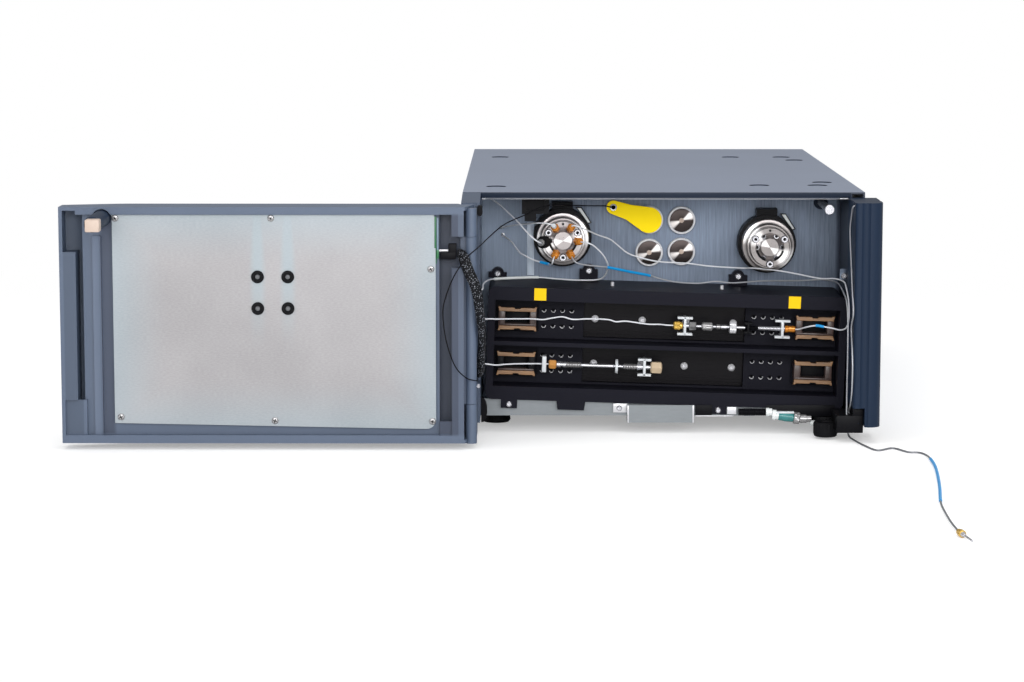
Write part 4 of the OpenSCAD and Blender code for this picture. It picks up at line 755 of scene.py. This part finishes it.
COLUMNS = (
    (UP, "brass", "upper_fittings", (
        ("upper_knurl", [(5.9, 1.2), (6.2, 2.8), (7.0, 3.6), (11.6, 3.6), (12.0, 3.0), (13.4, 3.0),
                         (14.2, 2.2)], brass, 36, (7.0, 11.6, 0.92)),
        ("upper_union", [(19.5, 2.6), (20, 3.6), (20.4, 3.9), (25.2, 3.9), (25.7, 3.2)],
         steel, 6, None),
        ("upper_grip", [(30.5, 2.0), (31, 3.2), (31.6, 3.7), (39, 3.7), (39.6, 3.2), (40.2, 1.8)],
         steel, 36, (31.6, 39, 0.9)),
        ("upper_stop", [(43, 1.6), (43.3, 2.2), (46.4, 2.2), (46.8, 1.6)], steel, 24, None),
        ("upper_wheel", [(54.2, 3.4), (54.8, 5.3), (59.8, 5.3), (60.4, 4.6), (60.4, 2.4)],
         pale, 40, (54.8, 59.8, 0.93)),
        ("upper_end_nut", [(102.1, 2.1), (102.5, 2.8), (104.6, 3.1), (105.1, 2.7), (110.6, 2.7),
                           (111.2, 2.2)], amber, 24, (105.1, 110.6, 0.93)))),
    (UP, "steel", "upper_column", (
        ("upper_tube_0", tube(14.2, 19.5, 1.5), bright, 20, None),
        ("upper_tube_1", tube(25.7, 30.5, 1.4), bright, 20, None),
        ("upper_tube_2", tube(40.2, 43, 1.4), bright, 20, None),
        ("upper_tube_3", [(46.8, 1.4), (47.4, 1.4), (47.5, 2.0), (52.2, 2.0), (52.4, 1.4),
                          (54.2, 1.4)], bright, 20, None),
        ("upper_tube_4", tube(60.4, 68, 1.5), bright, 20, None),
        ("upper_spring", thread(68, 79.2, 1.75, 0.5, 1.1), black, 20, None),
        ("upper_thread", thread(79.2, 102.1, 1.9, 0.22, 1.2), bright, 20, None))),
    (LOW, "nut_gold", "guard_fittings", (
        ("guard_hex", [(-100.2, 2.8), (-99.7, 3.7), (-99.2, 4.1), (-94.6, 4.1), (-94, 3.6),
                       (-93.6, 2.6)], orange, 6, None),
        ("guard_seat", [(-12.3, 3.2), (-11.7, 4.8), (-11, 5.4), (-3.6, 5.4), (-2.9, 4.8),
                        (-2.3, 3.2)], beige, 6, None))),
    (LOW, "steel", "guard_column", (
        ("guard_body", [(-93.6, 2.0), (-93.2, 2.7), (-90, 2.7), (-89.6, 2.1), (-88, 2.1),
                        (-87.6, 2.7), (-85.4, 2.7), (-85, 2.0)], bright, 24, None),
        ("guard_spring", thread(-85, -72.3, 2.6, 0.6, 1.4), steel, 20, None),
        ("guard_tube", tube(-72.3, -44.2, 1.7), bright, 20, None),
        ("guard_stem", tube(-44.2, -35.6, 1.6), bright, 20, None),
        ("guard_thread", thread(-35.6, -24.3, 2.6, 0.5, 1.5), steel, 20, None),
        ("guard_taper", [(-24.3, 1.8), (-23.8, 2.8), (-19.4, 2.2), (-12.3, 1.7)], bright, 20,
         None))),
)
for axis, slot, node, pieces in COLUMNS:
    for name, rings, dress, sides, ribs in pieces:
        turned(name, rings, axis, dress, "case", slot, node, sides=sides, ribs=ribs)

HOLD_UP, HOLD_LOW = OVEN @ shift(0, 15, 18.3), OVEN @ shift(0, 15, -18.8)


def holder(name, place, a, post, half, lift, bar=1.0, dress=clear):
    """A clear holder: an upright with a saddle bar above and below the column."""
    block(f"{name}_post", (a - post, -4, -half), (a + post, 12, half), place, dress, "case",
          "clear_plastic", "column_clamps", edge=0.25)
    for word, u in (("top", 1), ("foot", -1)):
        block(f"{name}_{word}", (a - lift, -4, u * (half - 0.8) - bar),
              (a + lift, 4, u * (half - 0.8) + bar), place, dress, "case", "clear_plastic",
              "column_clamps", edge=0.3)


holder("upper_hold_a", HOLD_UP, 16, 1.1, 7.8, 6.5)
holder("upper_hold_b", HOLD_UP, 70.5, 0.8, 4.8, 3.4, dress=black)
holder("upper_hold_c", HOLD_UP, 100, 1.1, 7.8, 6.5)
holder("guard_hold_a", HOLD_LOW, -17.6, 1.1, 7.4, 5.8)
block("guard_hold_b", (-106, -3, -7), (-102.3, 12, 7), HOLD_LOW, clear, "case", "clear_plastic",
      "column_clamps", edge=0.5)
turned("guard_ring", [(-42.8, 5.4), (-42.6, 6.2), (-40.6, 6.2), (-40.4, 5.4), (-40.4, 4.7),
                      (-42.8, 4.7)], LOW, clear, "case", "clear_plastic", "column_clamps",
       sides=36)

# ---------------------------------------------------------------- oven
BAR = [(-16.8, 10.4), (-15.2, 10.4), (-14.4, 9.5), (-3, 9.5), (-2.2, 8.4), (2.2, 8.4), (3, 9.5),
       (14.4, 9.5), (15.2, 10.4), (16.8, 10.4), (15.8, 6.3), (-15.8, 6.3)]
for s in (-1, 1):
    for t in (-1, 1):
        spot_here = OVEN @ shift(t * 128.5, 0, s * 19.5)
        word = f"{'upper' if s > 0 else 'lower'}_{'right' if t > 0 else 'left'}"
        for u in (-1, 1):
            plate(f"{word}_clip_bar_{u + 1}", [[(x, u * z) for x, z in BAR][::u]], 16, 24,
                  spot_here, brown, "case", "clip_brown", "column_clips", edge=0.3)
            block(f"{word}_clip_side_{u + 1}", (min(u * 16.4, u * 10.6), 18.4, -6.9),
                  (max(u * 16.4, u * 10.6), 33.9, 6.9), spot_here,
                  dark_brown if (s, t) != (-1, -1) else black, "case", "clip_brown",
                  "column_clips", edge=0.8)
        block(f"{word}_clip_ledge", (-15.4, 18, -6.2), (15.4, 33.8, -4.6), spot_here,
              dark_brown, "case", "clip_brown", "column_clips", edge=0.4)
        block(f"{word}_clip_back", (-10.8, 31, -6.9), (10.8, 33.9, 6.9), spot_here, black,
              "case", "clip_brown", "column_clips", edge=0.4)
        for i in (-12, -4, 4, 12):
            for j in (-6.8, 6.8):
                # pale arcs around the lower side of each peg hole: painted highlight on its chamfer
                rim = [(t * 91 + i - 2.6 + x, 29.9, s * 19.5 + j + z)
                       for x, z in arc(0, 0, 1.75, 190, 375, 10)]
                hole = lead(f"{word}_peg_rim_{i + 12}_{1 if j > 0 else 0}", rim, 0.32, pale,
                            steps=1)
                hole.data.transform(CASE.inverted())
                hole.data.transform(OVEN)
                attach(hole, "case")
    for i, a in enumerate((-61, -20, 18, 59)):
        here = OVEN @ shift(a, 36.5, s * 19.5) @ TO_FRONT
        turned(f"plate_screw_{s + 1}_{i}", [(0.2, 3.3), (1.2, 3.2), (1.9, 2.6), (2.2, 1.9),
                                            (1.5, 0.8)], here, pale, "case", "screw_steel",
               sides=28)
for i, a in enumerate((-47, 48)):
    turned(f"oven_peg_{i}", [(-0.2, 1.5), (3.2, 1.5), (3.6, 1.1)], OVEN @ shift(a, 35, 48.6), pale,
           "case", "oven_black", sides=20)

# ---------------------------------------------------------------- drain and waste
HOSE = CASE @ shift(0, -2, 18.6) @ ALONG_X
SIGHT = CASE @ shift(94, -2, 16.4) @ turn(8, "Y") @ ALONG_X
turned("drain_hose", thread(65.2, 90, 3.1, 0.5, 1.5), HOSE, black, "case", "clear_plastic",
       "drain_tube", sides=28)
STUB, NOZZLE = (CASE @ shift(0, -2, z) @ ALONG_X for z in (12.8, 9))
for name, rings, place, dress, sides, ribs in (
        ("drain_elbow", [(88.6, 2.6), (89, 3.6), (91.4, 3.8), (91.6, 3.2), (94, 3.2), (94.4, 2.6)],
         HOSE, white, 28, None),
        ("drain_neck", [(0, 3.0), (0.4, 4.4), (3.2, 4.6), (3.6, 3.6), (5.4, 3.6), (6, 3.2)], SIGHT,
         white, 28, None),
        ("drain_sight", [(5.6, 3.0), (6.2, 3.9), (12, 4.3), (18.2, 3.9), (19, 3.0)], SIGHT, teal,
         28, None),
        ("drain_union", [(18.6, 3.0), (19, 4.6), (19.8, 5.2), (23.4, 5.2), (24, 4.6), (24.4, 3.8),
                         (26.6, 3.8), (27, 3.2)], SIGHT, steel, 28, (19.8, 23.4, 0.93)),
        ("drain_stub", [(119.2, 2.6), (119.6, 3.6), (123.6, 3.6), (124, 2.8), (127.6, 2.8),
                        (128, 2.2)], STUB, steel, 24, None),
        ("drain_nozzle", [(127, 1.8), (127.4, 2.4), (131, 2.4), (131.4, 2.0)], NOZZLE, white, 20,
         None)):
    turned(name, rings, place, dress, "case", "white_plastic", "drain_fitting", sides=sides,
           ribs=ribs)
block("drain_lid", (97, -5.2, 17.6), (113, 0.4, 19.4), CASE, clear, "case", "white_plastic",
      edge=0.5)
turned("cup_wall", [(0, 7.2), (0.5, 7.6), (4, 9.4), (13.8, 9.4), (14.6, 8.8), (14.6, 7.8),
                    (5, 7.6)], CASE @ shift(140, 4, 0), rubber, "case", "black_plastic",
       "drain_cup", sides=48, ribs=(4, 13.8, 0.94))
for name, low, high, dress, slot, edge in (
        ("bracket_patch", (55.6, -1.9, 16.6), (63.4, -0.95, 22.8), pale, "white_plastic", 0.3),
        ("tray_ear", (-42.2, 2.35, 17.4), (-30.4, 2.78, 25.2), pale, "zinc_sheet", 0.1),
        # a black plate under the oven's front standing for the shade there: painted shade
        ("sill_strip", (28.3, -1.8, 15.8), (42.6, -1.05, 24.4), black, "black_plastic", 0.2),
        ("sill_line", (28.3, -1.8, 14.7), (60.5, -1.05, 15.5), pale, "zinc_sheet", 0.15),
        # a second black plate under the oven's front, beside the hose: painted shade
        ("sill_end", (89, -1.6, 15), (148, -1.05, 24.6), black, "black_plastic", 0.2)):
    block(name, low, high, CASE, dress, "case", slot, edge=edge)
for x in (-30.1, 25.9):
    block(f"tray_edge_{'left' if x < 0 else 'right'}", (x, -1.3, 9.1), (x + 1.2, -0.95, 24.2),
          CASE, pale, "case", "zinc_sheet", edge=0.1)
turned("clip_knob", [(2, 8.8), (2.6, 9.6), (5, 10.4), (13.4, 10.4), (14.2, 9.6), (14.2, 7),
                     (12.8, 6.8)], CASE @ shift(137.5, -28, 0), rubber, "case", "black_plastic",
       "outlet_clip", sides=48, ribs=(5, 13.4, 0.95))
for word, low, high, edge in (("base", (144.6, -50, 8), (167.1, -8, 23), 0.8),
                              ("riser", (158.1, -50, 22.4), (167.1, -8, 29), 0.8),
                              ("bridge", (130, -30, 8.5), (147.5, -9, 13), 0.6)):
    block(f"clip_{word}", low, high, CASE, black, "case", "black_plastic", "outlet_clip",
          edge=edge)
# a black plate at the cheek's lower front corner: partly the black foot, partly painted shade on
# the cheek's inner side
plate("corner_guard", [[(-155.9, 30.8), (-154.6, 30.9), (-152, 28), (-150.9, 23.5), (-150.7, 18),
                        (-151.6, 13), (-153.6, 10), (-155.9, 9.4)]], -3, 2, CASE, black, "case",
      "black_plastic", edge=0.4)

# ---------------------------------------------------------------- waste capillary end
tip = CASE @ shift(189.2, -453.7, 2.85) @ turn(9, "Z") @ turn(91, "X")
collar = turned("outlet_collar", [(0, 1.5), (0.4, 2.2), (2.8, 2.2), (3.2, 1.7)], tip, brass,
                "case", "brass", "outlet_fitting", sides=24)
grip = turned("outlet_grip", [(3.2, 1.9), (3.6, 2.75), (9.0, 2.75), (9.6, 2.2)], tip, brass,
              "case", "brass", "outlet_fitting", sides=36, ribs=(3.6, 9.0, 0.93))
point = turned("outlet_tip", [(9.6, 2.0), (10.2, 1.9), (14, 1.0), (14, 0.8), (31.2, 0.8),
                              (31.6, 0.5)], tip, bright, "case", "brass", "outlet_fitting",
               sides=24)

# ---------------------------------------------------------------- bay edges
# a pale zinc strip under the cover's lip: the real return flange, drawn pale as a painted highlight
# on its edge
block("cover_return", (-155, 0.35, 201.7), (158.4, 1.3, 202.5), CASE, pale, "case",
      "zinc_sheet", edge=0.15)
# a dark navy strip over the upper half of the cover's front lip: painted shade
block("cover_lip", (-156, -0.45, 203.2), (159.4, 0.05, 206.9), CASE, dark_navy, "case",
      "cover_paint", edge=0.15)
# a pale strip on the back wall of the bay, its tone set high so it reads bright inside the bay's
# shade: painted light
block("bay_strip", (-116.5, 78.35, 128.2), (-110.3, 78.75, 174.8), CASE,
      finish("bay_strip_painted_light", tone(176, 192, 216), 0.3, 0.0, (300, 300, 60), 0.01, 0.12,
             second=tone(216, 228, 242)), "case", "clear_plastic", edge=0.15)

# ---------------------------------------------------------------- door fittings
door_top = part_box("door_shell")[1].z * 1000
catch_z = door_top - 9.6
CATCH = CASE @ shift(141.5, 0, catch_z) @ TO_FRONT
turned("catch_base", [(-80, 6), (-76.6, 6), (-76, 5.4), (-76, 3.2)], CATCH, dark_navy, "case",
       "screw_steel", "catch_pin", sides=32)
turned("catch_rod", [(-76, 3.1), (-30, 3.1), (-5, 3.1)], CATCH, steel, "case", "screw_steel",
       "catch_pin", sides=32)
turned("catch_head", [(-5.2, 3.4), (-4.8, 4.2), (0.5, 4.2), (0.95, 3.7)], CATCH, bright, "case",
       "screw_steel", "catch_pin", sides=36)
LATCH = CASE @ shift(-467.1, -80, catch_z)
turned("latch_post", [(3, 7.0), (3.8, 7.0), (62, 6.6), (64.6, 6.2), (66, 5.4), (66, 3.0),
                      (64.8, 2.8)], LATCH @ TO_FRONT, navy, "door", "navy_plastic",
       "latch_block", sides=40)
block("latch_head", (-3.6, -78, -5), (7.9, -65.8, 5), LATCH, tan, "door", "tan_plastic",
      "latch_block", edge=0.9)
for i, (x, z) in enumerate(((176.4, 144.3), (151.4, 144.3), (176.4, 118), (151.4, 118))):
    place = DOOR @ shift(-x, 0, z) @ TO_FRONT
    turned(f"grommet_ring_{i}", [(6.5, 5.0), (6.8, 5.3), (7.7, 5.3), (8.5, 4.2), (8.5, 2.6),
                                 (7.4, 2.2)], place, rubber, "door", "rubber_black",
           "door_grommets", sides=36)
    turned(f"grommet_pin_{i}", [(3, 2.0), (7.9, 2.0), (8.3, 1.6), (8.4, 0.6)], place, drive,
           "door", "rubber_black", "door_grommets", sides=20)
edge_film = finish("edge_film", tone(112, 132, 150), 0.4, 0.0, (300, 300, 80), 0.01, 0.1)
for name, low, high, dress, edge in (
        ("board_sheet", (-68, -4.7, door_top - 47.3), (-28.5, -3.2, door_top - 8.3), green, 0.2),
        ("board_edge_light", (-28.3, -5.9, 166.4), (-26.7, -4.8, door_top - 9), edge_film, 0.3),
        ("board_corner", (-28.3, -5.9, 159.4), (-26.5, -3.4, 166.4), green, 0.3),
        ("board_socket", (-26.6, -5.4, 165.3), (-18.7, -2.4, 166.9), pale, 0.3),
        ("socket_shell", (-25.4, -7.4, 158.8), (-12.4, -2, 165), black, 0.8),
        ("board_plug", (-18.7, -7, 160.5), (-12, -1, 172), black, 0.8)):
    block(name, low, high, DOOR, dress, "door", "board_green", "door_board", edge=edge)

for i, (x, z) in enumerate(((293.4, 192.8), (165, 192.8), (291.1, 27.1), (163.1, 24.1),
                            (33.1, 150.8), (32.1, 23.6))):
    place = DOOR @ shift(-x, 0, z) @ TO_FRONT
    turned(f"panel_screw_{i}", [(6.5, 2.2), (6.5, 2.9), (7.2, 2.8), (7.9, 2.2), (8.1, 1.4)],
           place, steel, "door", "screw_steel", "door_screws", sides=30)
    for word, size in (("bar", (1.7, 0.35)), ("cross", (0.35, 1.7))):
        block(f"panel_screw_{word}_{i}", (-size[0], -size[1], 7.6), (size[0], size[1], 8.2),
              place @ turn(20 + 47 * i, "Z"), black, "door", "screw_steel", edge=0.1)

# ---------------------------------------------------------------- stacking recesses in the lid: painted shade arcs along the back half of their rims
for i, (x, y) in enumerate(((-143.5, 65), (-143.5, 451), (87.5, 79), (87.5, 451), (138.5, 79),
                            (138.5, 451), (146, 114), (147.5, 406))):
    r = 18 / 2 - 0.3
    rim = [(x + r * math.cos(math.radians(a)), y + r * math.sin(math.radians(a)), 207.3)
           for a in range(-20, 201, 20)]
    edge_line = lead(f"recess_rim_{i}", rim, 0.4, dark_navy, steps=2)
    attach(edge_line, "case")

# ---------------------------------------------------------------- floor, light, background
ops.object.select_all(action="DESELECT")
ops.mesh.primitive_plane_add(size=14, location=(0, 0, 0))
floor = bpy.context.object
floor.name = "floor"

world = bpy.data.worlds.new("studio")
scene.world = world
world.use_nodes = True
tree = world.node_tree
rays = tree.nodes.new("ShaderNodeLightPath")
shown = calc(tree, "MAXIMUM", rays.outputs["Is Camera Ray"], rays.outputs["Is Transmission Ray"])
level = tree.nodes.new("ShaderNodeMapRange")
level.inputs["To Min"].default_value = 0.45
level.inputs["To Max"].default_value = 1.0
tree.links.new(shown, level.inputs["Value"])
background = tree.nodes["Background"]
background.inputs["Color"].default_value = (1, 1, 1, 1)
tree.links.new(level.outputs["Result"], background.inputs["Strength"])

floor_finish = bpy.data.materials.new("floor_finish")
floor_finish.use_nodes = True
tree = floor_finish.node_tree
shader = tree.nodes["Principled BSDF"]
shader.inputs["Base Color"].default_value = (0.8, 0.8, 0.8, 1)
shader.inputs["Roughness"].default_value = 0.9
rays = tree.nodes.new("ShaderNodeLightPath")
glow = tree.nodes.new("ShaderNodeEmission")
tree.links.new(calc(tree, "MULTIPLY", rays.outputs["Is Camera Ray"], 0.34),
               glow.inputs["Strength"])
near = tree.nodes.new("ShaderNodeAddShader")
tree.links.new(shader.outputs[0], near.inputs[0])
tree.links.new(glow.outputs[0], near.inputs[1])
far = tree.nodes.new("ShaderNodeEmission")
spot = tree.nodes.new("ShaderNodeTexCoord")
away = tree.nodes.new("ShaderNodeVectorMath")
away.operation = "LENGTH"
tree.links.new(spot.outputs["Object"], away.inputs[0])
fade = calc(tree, "MULTIPLY", ease(tree, away.outputs["Value"], 0.55, 1.25),
            rays.outputs["Is Camera Ray"])
both = tree.nodes.new("ShaderNodeMixShader")
tree.links.new(fade, both.inputs[0])
tree.links.new(near.outputs[0], both.inputs[1])
tree.links.new(far.outputs[0], both.inputs[2])
tree.links.new(both.outputs[0], tree.nodes["Material Output"].inputs["Surface"])
floor.data.materials.append(floor_finish)


def softbox(name, place, target, size, power):
    data = bpy.data.lights.new(name, "AREA")
    data.shape = "RECTANGLE"
    data.size, data.size_y = size
    data.energy = power
    lamp = bpy.data.objects.new(name, data)
    scene.collection.objects.link(lamp)
    lamp.location = place
    aim = Vector(target) - Vector(place)
    lamp.rotation_euler = aim.to_track_quat("-Z", "Y").to_euler()
    return lamp


softbox("top_light", (0.0, -0.2, 2.2), (0, 0, 0), (2.4, 2.0), 24)
softbox("left_light", (-2.2, -2.0, 1.5), (0, -0.1, 0.1), (1.4, 1.6), 9)
softbox("right_light", (2.0, -2.4, 1.3), (0, -0.1, 0.1), (1.2, 1.6), 20)
softbox("front_light", (0.2, -3.2, 0.9), (0.1, -0.1, 0.1), (2.6, 1.2), 56)

scene.view_settings.view_transform = "Standard"
